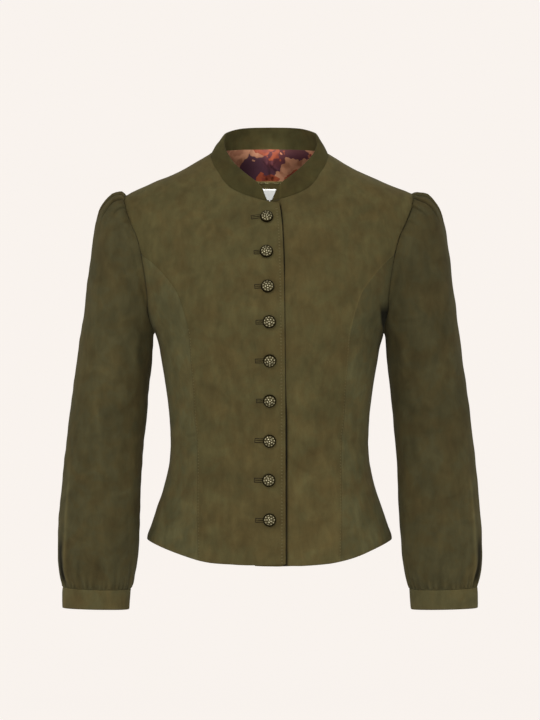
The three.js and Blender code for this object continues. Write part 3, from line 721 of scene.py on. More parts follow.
def antique_metal(name):
    m = Material(name, 0.36, metal=1.0, specular=0.5)
    dirt = m.noise(1600, 3, 0.6)
    mix = m.scaled(m.maths("SUBTRACT", dirt, 0.5), 0.35, m.tone())
    m.set("Roughness", m.ramp(mix, (0.1, (0.6, 0.6, 0.6)), (0.8, (0.3, 0.3, 0.3)), read=tuple))
    colour = m.ramp(mix, (0.06, (34, 28, 14)), (0.26, (84, 77, 54)), (0.55, (126, 117, 86)), (0.9, (192, 185, 155)))
    return m.finish(colour, dirt, 0.3)


MAT = {
    "body": suede("suede_body", (88, 76, 45), (89, 79, 48), (89, 82, 51)),
    "side": suede("suede_side", (93, 81, 50), (92, 84, 53), (90, 86, 57)),
    # The parts' suedes differ in lightness; the sleeve's is darker partly for its nap's direction and partly as
    # painted shade.
    "sleeve": suede("suede_sleeve", (79, 69, 42), (79, 71, 44), (78, 73, 48)),
    "collar": suede("suede_collar", (68, 59, 32), (68, 61, 33), (69, 64, 36)),
    "collar_inside": suede("suede_collar_inside", (78, 67, 38), (80, 72, 42), (80, 75, 45)),
    "cuff": suede("suede_cuff", (92, 80, 49), (92, 83, 52), (92, 86, 56)),
    "seam": plain_cloth("seam_allowance", (58, 51, 29), (70, 63, 38), 0.9, 900),
    "inside": satin("lining_plain"),
    "print": print_lining("lining_print"),
    "label": plain_cloth("label_cloth", (244, 244, 239), (253, 253, 250), 0.8, 1800),
    "thread": plain_cloth("thread_olive", (138, 128, 92), (160, 150, 112), 0.7, 3000),
    "thread_soft": plain_cloth("thread_suede", (96, 87, 54), (109, 99, 64), 0.9, 3000),
    "buttonhole_shade": plain_cloth("buttonhole_shade", (34, 28, 14), (46, 39, 22), 0.9, 3000),
    "metal": antique_metal("antique_metal"),
}


def finish_piece(obj, slot_name, *mats, node_name=None):
    for mat in mats:
        obj.data.materials.append(MAT[mat])
    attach(obj, "root")
    if node_name:
        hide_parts(node_name)
    return obj


def cloth(key, obj, slot_name, outside, inner):
    finish_piece(obj, slot_name, outside, inner, node_name=key)


# ---------------------------------------------------------------- body panels

def mirrored(side, *folds):
    return [([(side * x, z) for x, z in line], *rest) for line, *rest in folds]


def creases_body(side):
    """Soft folds of the body: where each runs, how deep and how wide it is, and whether it is behind."""
    left = side > 0
    return mirrored(
        side,
        ([(52, -328), (88, -368), (126, -396)], 0.7, 7, False),
        ([(84, -376), (112, -384), (133, -388)], 0.9 if left else 0.7, 5, False),
        ([(108, -214), (128, -230), (150, -238)], 0.8, 6, False),
        ([(104, -246), (130, -256), (149, -262)], 0.8, 6, False),
        ([(40, -120), (85, -128), (130, -118)], 0.45, 9, False),
        ([(66, -420), (74, -470), (72, -520)], 0.5, 10, False),
        ([(118, -420), (126, -460), (138, -505)], 0.7, 8, False),
        ([(20, -362), (70, -380), (126, -390)], 1.3 if left else 1.0, 7, True),
        ([(34, -402), (80, -405), (122, -398)], 0.9, 6, True),
        ([(132, -196), (118, -250), (98, -300)], 1.0, 9, True),
        ([(160, -108), (124, -140), (80, -150)], 0.8, 9, True),
        ([(60, -430), (64 if left else 70, -480), (74, -530)], 0.8, 10, True),
    )


over = front("shell_front_right", -1, front_edge_at, None, 0, creases_body(-1), {"left": 0.75, "low": 0.5})
cloth("front_right", over, "suede", "body", "inside")
under = front(
    "shell_front_left", 1, lambda z: np.full_like(np.asarray(z, float), UNDERLAP_X), under_sink, UNDERLAP_DROP,
    creases_body(1), {"left": 0.5, "low": 0.5}, np.arange(11.5, 23.6, 0.5), left_shade,
)
cloth("front_left", under, "suede", "body", "inside")
for word, side in SIDES:
    piece = side_front(f"shell_side_front_{word}", side, creases_body(side))
    cloth(f"side_front_{word}", piece, "suede", "side", "inside")
    piece = back(f"shell_back_{word}", side, creases_body(side))
    cloth(f"back_{word}", piece, "suede", "body", "inside")


# ---------------------------------------------------------------- sleeves and cuffs

def circle(count):
    return np.arange(count) * 2 * math.pi / count


def wrap(angle):
    """The same angle between half a turn back and half a turn on."""
    return ((angle + math.pi) % (2 * math.pi)) - math.pi


def armhole(turn):
    """Depth and height of points round the armhole, from its top over the front."""
    s, c = np.sin(turn), np.cos(turn)
    y = -np.sign(s) * np.where(s > 0, ARMHOLE_FRONT, ARMHOLE_BACK) * np.abs(s) ** ARMHOLE_ROUND
    return y, MID_Z + HALF_Z * c


def cap_angle(turn, crowd):
    return turn - crowd * np.sin(turn)


def ellipse(rows, at, turn, crowd, side):
    get = {name: column(rows, "ring", name)(at)[:, None] for name in ("outX", "outZ", "inX", "inZ", "half", "y")}
    a = cap_angle(turn, crowd[:, None])
    c, s = np.cos(a), np.sin(a)
    x = (get["outX"] + get["inX"]) / 2 + (get["outX"] - get["inX"]) / 2 * c
    z = (get["outZ"] + get["inZ"]) / 2 + (get["outZ"] - get["inZ"]) / 2 * c
    return np.stack([side * x, get["y"] - get["half"] * s, z], -1), a


def length_down(p):
    """How far each ring lies from the first, along the cloth."""
    return np.concatenate([[0], np.cumsum(np.linalg.norm(np.diff(p, axis=0), axis=2).mean(1))])


def ring_steps(surface, top, ends, pitch):
    """Ring numbers close together at both ends and pitch apart between, and how far down each lies."""
    fine = np.linspace(0, top, 1500)
    length = length_down(surface(fine, np.array([0.0, math.pi / 2, math.pi]))[0])
    total = length[-1]
    want = np.concatenate([ends, np.arange(ends[-1] + pitch, total - ends[-1] - pitch / 2, pitch), total - ends[::-1]])
    u = np.interp(want, length, fine)
    return u, np.interp(u, fine, length)


def sleeve_surface(u, turn, side):
    crowd = CAP_CROWD * (1 - smooth(u, 4, 7))
    p, a = ellipse(SLEEVE, np.maximum(u, 1), turn, crowd, side)
    y, z = armhole(cap_angle(turn, CAP_CROWD))
    first = np.stack([side * body_x(y, z), y, z], -1)
    t = np.sin(np.clip(u, 0, 1) * math.pi / 2)[:, None, None]
    p = first[None] * (1 - t) + p * t
    reach = body_x(p[..., 1], p[..., 2]) + np.interp(u, [0, 1, 8], [0.0, 0.9, 4.6])[:, None]
    near = (p[..., 2] < ARMHOLE_TOP_Z) & (np.abs(p[..., 0]) < reach) & (u[:, None] < 8)
    p[..., 0] = np.where(near, side * reach, p[..., 0])
    return p, a


def sleeve_fit(p, a, side):
    """Small shifts of the finished sleeve, which hangs a little differently on each arm."""
    p = p.copy()
    outer = smooth((np.cos(a) + 0.2) / 0.9)
    x, z = np.abs(p[..., 0]), p[..., 2]
    if side < 0:
        p[..., 0] += 1.2 * outer * smooth(z, -440, -60) + 0.5 * smooth(z, -556, -20)
        p[..., 0] += 1.0 * (1 - outer) * smooth(z, -556, -20)
    else:
        p[..., 0] += 1.0 * outer * smooth(z, -44, -12) * smooth(z, -470, 120)
        p[..., 2] -= 2.0 * smooth(z, -84, 26) * smooth(x, 193, 6) * (1 - smooth(x, 204, 12))
        p[..., 2] += 2.7 * smooth(z, -84, 22) * (1 - smooth(x, 188, 9))
    return inset(p, side)


def tucks(bend, down, move, tone):
    """Tucks of the puffed cap, from the seam outwards."""
    cap_radius = 92.0
    for start, end, depth, reach in (
        (5, 4, 1.2, 26), (17, 13, 2.6, 50), (27, 34, 2.6, 40), (39, 54, 1.7, 26), (54, 72, 0.9, 20),
        (-9, -7, 1.2, 30), (-22, -24, 2.4, 44), (-36, -47, 2.0, 38), (-50, -66, 1.3, 26), (-66, -84, 0.8, 20),
    ):
        line = np.radians(start + (end - start) * np.clip(down / 60, 0, 1))
        d = (bend - line) * cap_radius
        fade = smooth(down / 2.5) * (1 - smooth((down - 0.35 * reach) / (0.75 * reach)))
        outer_side = -np.sign(start)
        line_in = bell(d, np.where(d * outer_side > 0, 1.1, 2.6))
        roll = bell(d - outer_side * 3.6, 2.4)
        move += depth * fade * (0.75 * roll - 1.15 * line_in)
        # painted shade along each tuck's line and a faint painted highlight on its roll
        tone += fade * depth / 2.6 * (0.09 * roll - 0.42 * line_in)


def gathers(turn, up, side, move, tone):
    """Gathers above the cuff, one in four of them long."""
    rng = np.random.default_rng(11 + side)
    count, wrist_radius = 46, 42
    for k in range(count):
        centre = 2 * math.pi * (k + rng.uniform(-0.3, 0.3)) / count
        long = k % 4 == 0
        length = rng.uniform(28, 52) if long else rng.uniform(9, 26)
        depth = rng.uniform(0.9, 1.5) if long else rng.uniform(0.5, 1.15)
        width = rng.uniform(2.2, 3.4) if long else rng.uniform(1.3, 2.1)
        lean = rng.uniform(-0.05, 0.05)
        d = wrap(turn[None] - centre - lean * up / 40) * wrist_radius
        fade = smooth(up / 1.6) * (1 - smooth((up - 0.2 * length) / (0.95 * length)))
        flank = bell(np.abs(d) - 2.0 * width, width)
        move -= depth * fade * (1.1 * bell(d, width) - 0.55 * flank)
        # painted shade along each gather and a faint painted highlight on its flanks
        sharp = 0.13 + 0.15 * (1 - smooth(up / 9))
        tone -= sharp * fade * bell(d, 0.8 * width) - 0.05 * fade * flank
    move -= 0.25 * (1 - smooth(up, 4, 26))


def arm_folds(bend, down, up, move, tone):
    """The pressed fold by the outer edge, a ridge with a painted highlight and a hollow low down with painted shade,
    and the long soft folds.
    """
    arm_radius = 50
    d = wrap(bend - math.radians(23)) * arm_radius
    foot = smooth(up, 2, 14)
    hollow = bell(d, 7.5, 4) * smooth(up, 76, -22) * foot
    ridge = bell(d - 13.5, 3.0) * smooth(up, 175, -60) * foot
    move += 0.6 * ridge - 0.8 * hollow
    tone += 0.5 * ridge - 0.84 * hollow
    # Each long fold: its centre, top, bottom, depth, width, and how dark its painted shade is; its roll gets a fainter
    # painted highlight
    for centre, top, bottom, depth, width, dark in (
        (-34, 150, 8, 1.1, 4.5, 0.06), (128, 210, 90, 0.8, 7, 0.02),
        (-120, 230, 60, 0.9, 8, 0.03), (66, 60, 6, 0.5, 3.5, 0.05), (104, 46, 6, 0.6, 3, 0.05),
    ):
        d = wrap(bend - math.radians(centre)) * arm_radius + 1.5 * np.sin(down / 37)
        fade = smooth((top - up) / 60) * smooth((up - bottom + 6) / 20)
        roll = bell(d - 2.0 * width, width)
        hollow = bell(d, np.where(d < 0, 1.8 * width, width))
        move += depth * fade * (0.7 * roll - hollow)
        tone += fade * (0.35 * dark * roll - dark * hollow)


def sleeve(word, side):
    turn = circle(216)
    ends = np.array([0, 0.5, 1.1, 1.9, 2.9, 4.1, 5.6, 7.5])
    u, _ = ring_steps(lambda u, turn: sleeve_surface(u, turn, side), 18, ends, 3.7)
    p, a = sleeve_surface(u, turn, side)
    n = grid_normals(p, True, side)
    down = length_down(p)[:, None]
    up = down[-1] - down
    move = 0.6 * noise(p, 60, 31 + side) + 0.35 * noise(p, 24, 37 + side)
    move *= smooth(down / 14) * smooth(up / 10)
    tone = 1 + 0.05 * noise(p, 80, 43)
    bend = wrap(a)
    tucks(bend, down, move, tone)
    gathers(turn, up, side, move, tone)
    arm_folds(bend, down, up, move, tone)
    p = p + n * move[..., None]
    for line, depth, width, behind in mirrored(
        side,
        ([(160, -236), (168, -262), (168, -300)], 1.5, 4.5, False),
        ([(176, -232), (190, -268), (186, -320)], 0.9, 8, False),
        ([(172, -330), (190, -345), (214, -350)], 1.2, 6, False),
        ([(180, -356), (204, -372), (238, -374)], 0.9, 7, False),
        ([(168, -250), (196, -290), (224, -300)], 1.4, 8, True),
        ([(172, -322), (200, -340), (244, -340)], 1.6, 7, True),
        ([(176, -356), (214, -366), (256, -356)], 1.2, 7, True),
    ):
        step, trough = crease(p, line, depth, width, behind)
        p = p + n * step[..., None]
        # painted shade in each crease and a faint painted highlight on its ridges
        tone += 0.12 * trough
    # painted shade along the armhole seam at the sleeve's head
    tone -= dip(down, 0.04, 1.0)
    y, z = p[..., 1], p[..., 2]
    past = np.abs(p[..., 0]) - body_x(edge_y(z, False), z)
    # a painted highlight on the front of the sleeve beside the armhole seam
    near = bell(past - 5, 8) * (y < 0) * smooth(z, -85, -40) * smooth(z, -320, 70)
    tone += (0.3 if side < 0 else 0.2) * near
    if side > 0:  # the wearer's left arm lies in a little less light
        tone -= 0.13 * smooth(z, -420, 90)
    p = sleeve_fit(p, a, side)
    return shell(f"shell_sleeve_{word}", p, grid_normals(p, True, side), WALL * 0.9, ring=True, tone=tone)


def cuff(word, side):
    turn = circle(168)
    ends = np.array([0, 0.4, 0.9, 1.5, 2.2, 3.0, 4.0])
    u, down = ring_steps(lambda u, turn: ellipse(CUFF, u, turn, np.zeros_like(u), side), 3, ends, 1.7)
    p, _ = ellipse(CUFF, u, turn, np.zeros_like(u), side)
    n = grid_normals(p, True, side)
    down = down[:, None]
    up = down[-1] - down
    move = 0.3 * noise(p, 30, 71) * smooth(down / 4) * smooth(up / 4)
    move -= dip(down, 0.2, 0.9) + dip(up, 0.25, 0.7)
    # painted highlight just under the seam and painted shade along the lower edge
    tone = 1 + dip(down - 0.5, 0.09, 0.9) - dip(up, 0.12, 0.9) + 0 * turn[None]
    p = p + n * move[..., None]
    p[..., 2] += 1.9 * np.sin(turn)[None] * (down / down[-1])  # the band's lower edge hangs almost level
    if side < 0:
        p[..., 0] += 1.6
    n = grid_normals(p, True, side)
    panels[f"cuff_{word}"] = (p, n)
    return shell(f"shell_cuff_{word}", p, n, CUFF_WALL * 0.95, ring=True, tone=tone, round_by={"high": 0.8})


for word, side in SIDES:
    cloth(f"sleeve_{word}", sleeve(word, side), "suede_sleeve", "sleeve", "inside")
    cloth(f"cuff_{word}", cuff(word, side), "suede_cuff", "cuff", "cuff")


# ---------------------------------------------------------------- collar

def collar():
    top = {name: column(COLLAR_TOP, "angle", name) for name in "xyz"}
    half = np.concatenate([
        [0.9, 1.15, 1.45, 1.9, 2.4, 2.8, 3.1, 3.4, 3.7, 4.0, 4.3, 4.6, 5.0, 5.6], np.linspace(6.4, 40, 32),
        np.linspace(42.5, 177, 48),
    ])
    signed = np.concatenate([-half, [-180], half[::-1]])
    side = np.where(signed < 0, -1, 1)
    a = np.abs(signed)
    z = neck_at(a)
    foot = body(np.radians(a), z, side)
    foot = foot + unit(body(np.radians(a), z + 1, side) - foot) * SEAM_GAP
    high = np.stack([side * top["x"](a), top["y"](a), top["z"](a)], -1)
    out = unit(foot * [1, 1, 0])
    length = np.linalg.norm(high - foot, axis=1).mean()
    steps = np.concatenate([EDGE_STEPS, np.linspace(6.4, length - 6.4, 9), length - EDGE_STEPS[::-1]]) / length
    t = steps[:, None, None]
    p = foot[None] * (1 - t) + high[None] * t + out[None] * 1.6 * np.sin(math.pi * t)
    p[..., 0] += 1.6 * t[..., 0] * smooth(a, 15, 40)
    p[..., 2] += 1.1 * t[..., 0] * smooth(a, 50, 40)
    n = grid_normals(p, False, 1)
    n *= np.sign((n * out[None]).sum(-1).mean())
    left, right, low, upper = distances(p)
    move = 0.4 * noise(p, 26, 83) * smooth(np.minimum.reduce([left, right, low, upper]) / 7)
    move -= dip(low, 0.4, 1.1) + dip(upper, 0.3, 0.9)
    # painted shade along the foot's seam and a painted highlight just under the top edge
    tone = 1 + 0.06 * noise(p, 24, 87) - dip(low, 0.12, 0.9) + dip(upper - 1.5, 0.08, 1.5)
    tone += dip(p[..., 0] - 14.0, 0.3, 0.9) * (p[..., 1] < 0)  # a painted highlight along the end's edge, in line with the front's
    p = p + n * move[..., None]
    edges = {"high": 0.85, "left": 0.5, "right": 0.5}
    return shell("shell_collar", p, n, COLLAR_WALL * 0.97, tone=tone, round_by=edges)


cloth("collar", collar(), "suede_sleeve", "collar", "collar_inside")


# ---------------------------------------------------------------- inside of the back neck

LINING_TUCK = 1.6  # the lining's top edge is sewn to the inside of the collar's foot


def on_back(x, height):
    z = np.full_like(x, 6.0) if height is None else np.full_like(x, float(height))
    angle = np.full_like(x, math.pi)
    for _ in range(8):
        angle = math.pi - angle_of_x(np.abs(x), z)
        if height is None:
            z = neck_at(np.degrees(angle)) + LINING_TUCK
    return angle, z


def inside_piece(name, width, heights, spreads, depth, wall, cols, folded=False):
    x = np.linspace(-width, width, cols)
    rows, normals, tones = [], [], []
    for height, spread in zip(heights, spreads):
        side = np.where(x < 0, -1, 1)
        angle, z = on_back(np.maximum(np.abs(x) * spread, 0.01), height)
        n = body_normal(angle, z, side)
        sink = depth + (pleat(x, z) if folded else 0 * x)
        rows.append(body(angle, z, side) - n * sink[:, None])
        normals.append(n)
        tones.append(1 - (pleat_shade(x, z) if folded else 0 * x))
    return shell(name, np.array(rows), np.array(normals), wall, tone=np.array(tones))


def pleat(x, z):
    """A centre pleat that opens downwards, with two folds running out from its head."""
    along = smooth(z, -3, -5) * smooth(z, -30, 6)
    stem = bell(x, 1.1) * along
    flank = 0.9 * bell(np.abs(x) - 3.4, 2.0) * along
    arm = bell(x - (0.9 * (-6 - z)), 1.3) * smooth(z, -5, -3) * smooth(z, -19, 4)
    return 2.0 * flank - 0.5 * stem + 1.0 * arm


def pleat_shade(x, z):
    """Darkness of the pleat's stem and of its two arms, which make a Y."""
    stem = bell(x, 0.8) * smooth(z, -13, -3)
    arm = bell(np.abs(x) - 0.95 * (z + 14), 0.9) * smooth(z, -15, 2) * smooth(z, -3, -3)
    return 0.7 * stem + 0.5 * arm


lining_heights = [*np.linspace(-88, -4, 44), None]
lining_spreads = np.interp([-4 if h is None else h for h in lining_heights], [-88, -4], [1.3, 1.04])
lining_spreads[-1] = 1.0
PATCH_DEPTH = WALL + LINING_GAP + LINING_WALL + LAYER_GAP
LABEL_DEPTH = PATCH_DEPTH + LINING_WALL + LAYER_GAP
for key, width, heights, spreads, depth, wall, cols, slot_name, mat in (
    ("lining_back", 64, lining_heights, lining_spreads, WALL + LINING_GAP, LINING_WALL, 110, "lining", "print"),
    ("label_patch", 22, np.linspace(-80, -31, 22), np.full(22, 1.25), PATCH_DEPTH, LINING_WALL, 30, "suede",
     "collar_inside"),
    ("label", 12, np.linspace(-66, -41, 16), np.full(16, 1.25), LABEL_DEPTH, LABEL_WALL, 20, "label", "label"),
):
    piece = inside_piece(f"shell_{key}", width, heights, spreads, depth, wall, cols, key == "lining_back")
    cloth(key, piece, slot_name, mat, mat)


# ---------------------------------------------------------------- buttons

def front_surface(x, z):
    """Points of the closed front's surface over x and z, with their normals."""
    z = np.asarray(z, float)
    fall = HEM_DROP_FRONT / (WAIST_Z - HEM_SIDE_Z)
    low = np.where(z < WAIST_Z, (z + fall * WAIST_Z) / (1 + fall), z)
    angle = angle_of_x(x, low)
    n = body_normal(angle, low, 1)
    place = body(angle, low, 1)
    return place + n * unevenness(place)[..., None], n


def front_place(x, z):
    place, n = (v[0] for v in front_surface(np.array([float(x)]), np.array([float(z)])))
    right = unit(np.cross([0, 0, 1], n))
    return place, n, right, np.cross(n, right)


def tube(rows, around, base=0):
    """Faces of a tube of rings, whose points start at base."""
    faces = []
    for i in range(rows - 1):
        here = base + i * around
        for j in range(around):
            k = (j + 1) % around
            faces.append((here + j, here + k, here + around + k, here + around + j))
    return faces


def button(number, x, z):
    place, n, right, up = front_place(x, z)
    place = place + n * LAYER_GAP
    spokes = 84
    turn = circle(spokes)
    # Radius of each ring, from the back round to the top; the widest makes 17 mm across, and the solids have 16
    r = np.array([2.4, 2.4, 7.6, 8.2, 8.5, 8.45, 8.15, 7.75, 7.35, 7.0, 6.7, 6.4, 6.1, 5.8, 5.45, 5.1, 4.75, 4.4, 4.05,
                  3.7, 3.35, 3.0, 2.65, 2.3, 2.0, 1.7, 1.4, 1.1, 0.8, 0.5, 0.25])
    dome = 1.7 + 4.2 * np.sqrt(np.clip(1 - (r / 8.6) ** 2, 0, 1))
    dome[:6] = [0.02, 0.8, 0.9, 1.1, 1.5, 2.1]
    spin = 0.35 * number
    petals, beads = (smooth(0.62 + 0.75 * np.cos(k * (5 * turn + spin)))[None] for k in (1, 2))
    band = bell(r - 3.1, 0.95, 4)[:, None]
    outer_band = bell(r - 6.05, 0.75, 4)[:, None]
    rim = bell(r - 7.6, 0.35)[:, None]
    boss = bell(r, 1.15, 4)[:, None]
    relief = band * petals + 0.9 * outer_band * beads + 0.55 * rim + boss
    relief = relief * (dome > 1.6)[:, None]
    height = dome[:, None] + 0.5 * relief
    cx = r[:, None] * np.cos(turn)
    cy = r[:, None] * np.sin(turn)
    p = place + cx[..., None] * right + cy[..., None] * up + height[..., None] * n
    points = list(p.reshape(-1, 3)) + [place + n * 0.02, place + n * (dome[-1] + 0.5)]
    # darker in the low relief for patina in its hollows; black round the rim, partly patina and partly painted shadow
    tone = np.where((r < 7.3)[:, None] & (dome > 1.6)[:, None], 0.2 + 0.66 * relief, 0.0)
    tone = np.clip(tone, 0, 1).ravel().tolist() + [0.0, 0.95]
    rows = len(r)
    faces = tube(rows, spokes)
    bottom, top = rows * spokes, rows * spokes + 1
    for j in range(spokes):
        k = (j + 1) % spokes
        faces.append((bottom, k, j))
        faces.append((top, (rows - 1) * spokes + j, (rows - 1) * spokes + k))
    obj = tidy(mesh_object(f"detail_button_{number}", points, faces, None, tone))
    finish_piece(obj, "metal", "metal", node_name=f"button_{number}")


def leaning(right, up, lean):
    return right * math.cos(lean) + up * math.sin(lean), -right * math.sin(lean) + up * math.cos(lean)


def pad(name, centre, lean, size, swell, lift, thick, mat):
    """A thin cushion on the front: a rounded rectangle, leaning, swollen in the middle."""
    place, n, right, up = front_place(*centre)
    along, across = leaning(right, up, lean)
    uu, vv = np.meshgrid(np.linspace(-1, 1, 25), np.linspace(-1, 1, 9))
    rise = swell * (1 - uu ** 8) * np.sqrt(np.clip(1 - vv ** 4, 0, 1))
    flat = place + along * uu[..., None] * size[0] / 2 + across * vv[..., None] * size[1] / 2
    here, normal = front_surface(flat[..., 0], flat[..., 2])
    grid = here + normal * (lift + rise)[..., None]
    obj = shell(name, grid, np.broadcast_to(n, grid.shape), thick)
    finish_piece(obj, "suede", mat, mat)


# How far each buttonhole reaches to the left of its button, how tall it is, its lean and its height over the button
BUTTONHOLES = [
    (20.5, 6.0, 0.13, 2.2), (16.5, 5.6, 0.04, 0), (17.0, 5.8, 0.05, 0.7), (17.5, 5.8, 0.02, 0),
    (19.0, 6.0, 0.03, 0), (17.5, 5.6, 0.02, 0), (19.5, 6.0, -0.05, 0), (19.0, 6.0, 0.0, 0),
    (18.5, 5.8, 0.03, 0),
]
SLIT_OPENING = 0.034  # lean of each lip away from the slit
SLIT_HALF = 0.68  # from the slit's middle to the edge of each lip
LIPS_LEAVE = 2.9  # how much of a buttonhole's height is slit and outline
PAST_BUTTON = 3  # how far a buttonhole reaches beyond its button's middle


def buttonhole(number, x, z, reach, tall, lean):
    """Two suede lips round a slit that opens towards the button, on a dark ground of painted shade that shows in the
    slit and as their outline.
    """
    long = reach + PAST_BUTTON
    place, n, right, up = front_place(x, z)
    along, across = leaning(right, up, lean)
    centre = place - along * (long / 2 - PAST_BUTTON)
    pad(f"buttonhole_slit_shade_{number}", (centre[0], centre[2]), lean, (long, tall), 0, 0.12, 0.3, "buttonhole_shade")
    lip = (tall - LIPS_LEAVE) / 2
    for sign, word in ((1, "upper"), (-1, "lower")):
        at = centre + across * sign * (lip / 2 + SLIT_HALF) + along * 0.1
        open_lean = lean + sign * SLIT_OPENING
        pad(f"buttonhole_{word}_{number}", (at[0], at[2]), open_lean, (long - 1.5, lip), 0.4, 0.2, 0.3, "body")


# ---------------------------------------------------------------- sewing

def stitches(
    name, line, normals, pitch=3.1, length=2.1, radius=0.3, mat="thread", slot_name="suede", lift=0.14, broad=1.15
):
    """A row of short threads along a line of points, each a small six-sided spindle."""
    line, normals = np.asarray(line, float), np.asarray(normals, float)
    length_at = travel(line)
    count = int(length_at[-1] / pitch)
    points, faces = [], []
    ring = np.arange(6) * math.pi / 3
    shape = ((-1.0, 0.35), (-0.55, 1.0), (0.55, 1.0), (1.0, 0.35))
    for k in range(count):
        s = (k + 0.5) * pitch
        size = radius * (0.62 + 0.38 * math.sin(0.23 * k + 0.8) ** 2)
        here = between(s, length_at, line)
        n = unit(between(s, length_at, normals))
        t = unit(between(s + 0.5, length_at, line) - here)
        b = np.cross(t, n)
        base = len(points)
        for along, wide in shape:
            centre = here + t * along * length / 2 + n * (lift - 0.22 * along * along)
            for c, d in zip(np.cos(ring), np.sin(ring)):
                points.append(centre + (b * c * broad + n * d) * size * wide)
        faces += tube(len(shape), 6, base)
        faces.append(tuple(base + j for j in range(5, -1, -1)))
        faces.append(tuple(base + 18 + j for j in range(6)))
    obj = tidy(mesh_object(name, points, faces, None, np.ones(len(points))))
    finish_piece(obj, slot_name, mat)


def beside(key, which, distance, lowest):
    """The line on a panel that runs at a distance from one edge, below a height, with its normals."""
    p, n, *edges = panels[key]
    line, normals = [], []
    for i, d in enumerate(edges[which]):
        if d.max() < distance * 1.5:
            continue
        order = np.argsort(d)
        line.append(between(distance, d[order], p[i][order]))
        normals.append(between(distance, d[order], n[i][order]))
    line, normals = np.array(line), unit(np.array(normals))
    keep = line[:, 2] < lowest
    return line[keep], normals[keep]


LEFT_EDGE, RIGHT_EDGE = 0, 1
CUFF_STITCH_ROW = 6  # the ring 3.3 mm below the seam
for word, _ in SIDES:
    line, normals = beside(f"shell_front_{word}", RIGHT_EDGE, 1.6, -232)
    stitches(f"stitch_princess_{word}", line, normals, 4.0, 1.7, 0.34, "thread_soft", lift=0.08, broad=2.4)
    rings = (grid[CUFF_STITCH_ROW] for grid in panels[f"cuff_{word}"])
    closed, closed_n = (np.concatenate([ring, ring[:1]]) for ring in rings)
    stitches(f"stitch_cuff_{word}", closed, closed_n, 3.1, 1.5, 0.16, "thread_soft", "suede_cuff", 0.0)
line, normals = beside("shell_front_right", LEFT_EDGE, 4.3, -74)
stitches("stitch_front_edge", line, normals, 4.1, 1.9, 0.36, "thread_soft", lift=0.06, broad=4.2)

# The patch inside the neck is sewn on along its top edge
x = np.linspace(-24, 24, 61)
angle, z = on_back(np.maximum(np.abs(x), 0.01), -33.2)
n = body_normal(angle, z, np.where(x < 0, -1, 1))
line = body(angle, z, np.where(x < 0, -1, 1)) - n * (PATCH_DEPTH + LINING_WALL)
stitches("stitch_patch", line, -n, 2.7, 1.9, 0.34, lift=0.12)

for index, ((bx, bz), hole) in enumerate(zip(BUTTONS, BUTTONHOLES), 1):
    button(index, bx, bz)
    buttonhole(index, bx, bz + hole[3], *hole[:3])


def allowance(name, angles, heights, side, width=3.0, depth=0.8):
    """A narrow turned-in strip behind a seam of the body, inside the thickness of the cloth."""
    angles = np.broadcast_to(angles, heights.shape).copy()
    line = body(angles, heights, side)
    n = body_normal(angles, heights, side)
    for way, deep, wide, behind in creases_body(side):
        line = line + n * crease(line, way, deep, wide, behind)[0][..., None]
    line = inset(line + n * shoulder_lift(line, side)[..., None], side)
    across = np.cross(n, unit(np.gradient(line, axis=0)))
    low = line - across * width / 2 - n * depth
    high = line + across * width / 2 - n * depth
    finish_piece(shell(name, np.array([low, high]), np.array([n, n]), STRIP_WALL), "suede", "seam", "seam")


SEAM_FOOT_Z = HEM_SIDE_Z + 0.6
for word, side in SIDES:
    z = np.linspace(SEAM_FOOT_Z, PRINCESS_TOP_Z, 120)
    allowance(f"seam_princess_{word}", angle_of_x(princess_at(z), z), z, side, depth=0.7)
    z = np.linspace(SEAM_FOOT_Z, ARMPIT_Z - 0.5, 90)
    allowance(f"seam_side_{word}", math.pi / 2, z, side)
    z = np.linspace(ARMHOLE_TOP_Z + 0.5, NECK_SIDE_Z, 40)
    allowance(f"seam_shoulder_{word}", math.pi / 2, z, side)
    z = np.linspace(ARMHOLE_TOP_Z - 9, ARMHOLE_TOP_Z + 5, 12)
    allowance(f"seam_cap_{word}", math.pi / 2, z, side, width=13.0, depth=1.0)
    for part, start in (("front", 0.0), ("back", math.pi)):
        y, z = armhole(np.linspace(start, start + math.pi, 90))
        angles = angle_of_y(np.where(np.abs(y) < 0.05, 0.05, y), z, part == "back")
        allowance(f"seam_armhole_{word}_{part}", angles, z, side, width=3.4)
    angles = np.radians(np.linspace(0.3, 179.9, 120))
    allowance(f"seam_neck_{word}", angles, neck_height(angles), side)
allowance("seam_centre_back", math.pi - 0.0005, np.linspace(SEAM_FOOT_Z, 8.5, 160), 1)


# ---------------------------------------------------------------- studio

WARM_WHITE = (1.0, 0.985, 0.965)
FLOOR, COVE, DEPTH, WIDTH, HEIGHT = -1500, 1500, 5000, 30000, 12000  # the backdrop's sizes in millimetres
pale = Material("pale_backdrop", 1.0, specular=0.0)
wall_colour = pale.ramp(pale.noise(3, 1), (0.3, (0.215, 0.205, 0.196)), (0.7, (0.218, 0.208, 0.199)), read=tuple)
pale.set("Base Color", wall_colour)
pale.set("Emission Color", (0.947, 0.896, 0.855, 1))
pale.set("Emission Strength", 0.88)
profile = [(-WIDTH, FLOOR)]
for k in range(13):
    a = math.pi / 2 * k / 12
    profile.append((DEPTH + COVE * math.sin(a), FLOOR + COVE * (1 - math.cos(a))))
profile.append((DEPTH + COVE, HEIGHT))
n = len(profile)
backdrop = mesh_object(
    "backdrop", [(x, y, z) for x in (-WIDTH, WIDTH) for y, z in profile],
    [(k, k + 1, n + k + 1, n + k) for k in range(n - 1)],
)
backdrop.data.materials.append(pale.made)
backdrop.visible_diffuse = False
backdrop.visible_glossy = False

world = bpy.data.worlds.new("soft_room")
bpy.context.scene.world = world
world.use_nodes = True
room_light = world.node_tree.nodes["Background"].inputs
room_light["Color"].default_value = (*WARM_WHITE, 1)
room_light["Strength"].default_value = 0.46


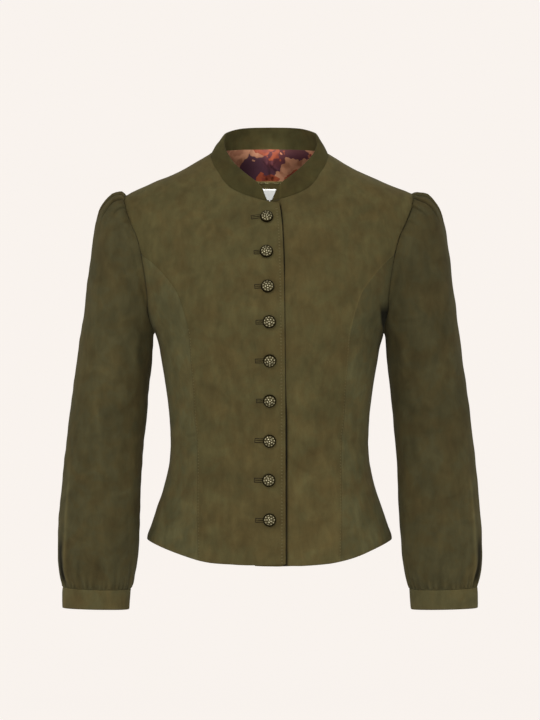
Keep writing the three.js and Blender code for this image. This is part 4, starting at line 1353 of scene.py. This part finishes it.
def lamp(name, kind, place, target, **settings):
    light = bpy.data.lights.new(name, kind)
    for key, value in settings.items():
        setattr(light, key, value)
    obj = link(name, light)
    obj.location = place
    obj.rotation_euler = (Vector(target) - Vector(place)).to_track_quat("-Z", "Y").to_euler()


for name, place, (wide, tall), power in (
    ("key", (-1.1, -3.0, 1.9), (1.2, 1.2), 31),
    ("front", (0.3, -3.4, -1.0), (1.6, 1.2), 20),
    ("fill_left", (-3.0, -1.5, 0.0), (1.6, 2.6), 15),
    ("fill_right", (3.0, -1.7, 0.1), (1.6, 2.6), 18),
    ("back_soft", (0.6, 2.6, 2.4), (2.5, 1.5), 20),
):
    lamp(
        name, "AREA", place, (0, 0, -0.27), shape="RECTANGLE", size=wide, size_y=tall, energy=power, color=WARM_WHITE
    )

# Snooted lamps that look down through the neck opening, one at the lining and one at the label
for name, power, width, radius, target in (
    ("neck_lamp", 23, 7, 0.06, (0, 0.05, -0.025)), ("label_lamp", 140, 2.6, 0.01, (0, 0.08, -0.058)),
):
    lamp(
        name, "SPOT", (0, -0.8, 1.1), target, energy=power, spot_size=math.radians(width), spot_blend=1.0,
        shadow_soft_size=radius,
    )

# The camera is level, three metres off, and its axis passes through the middle of the frame
PICTURE_WIDTH = 540
PICTURE_HEIGHT = 720
MM_PER_PIXEL = 1.335
CENTRE_X = 269.5
ORIGIN_Y = 152
DISTANCE = 3.0
EYE_RISE = 0.001
camera = bpy.data.cameras.new("camera")
camera.sensor_width = SENSOR = 36
camera.lens = SENSOR * DISTANCE * 1000 / (PICTURE_HEIGHT * MM_PER_PIXEL)
camera.clip_end = 60
eye = link("camera", camera)
eye.location = (
    (PICTURE_WIDTH / 2 - CENTRE_X) * MM_PER_PIXEL * MM,
    -DISTANCE,
    (ORIGIN_Y - PICTURE_HEIGHT / 2) * MM_PER_PIXEL * MM + EYE_RISE,
)
eye.rotation_euler = (math.pi / 2, 0, 0)
bpy.context.scene.camera = eye
bpy.context.scene.view_settings.view_transform = "Standard"
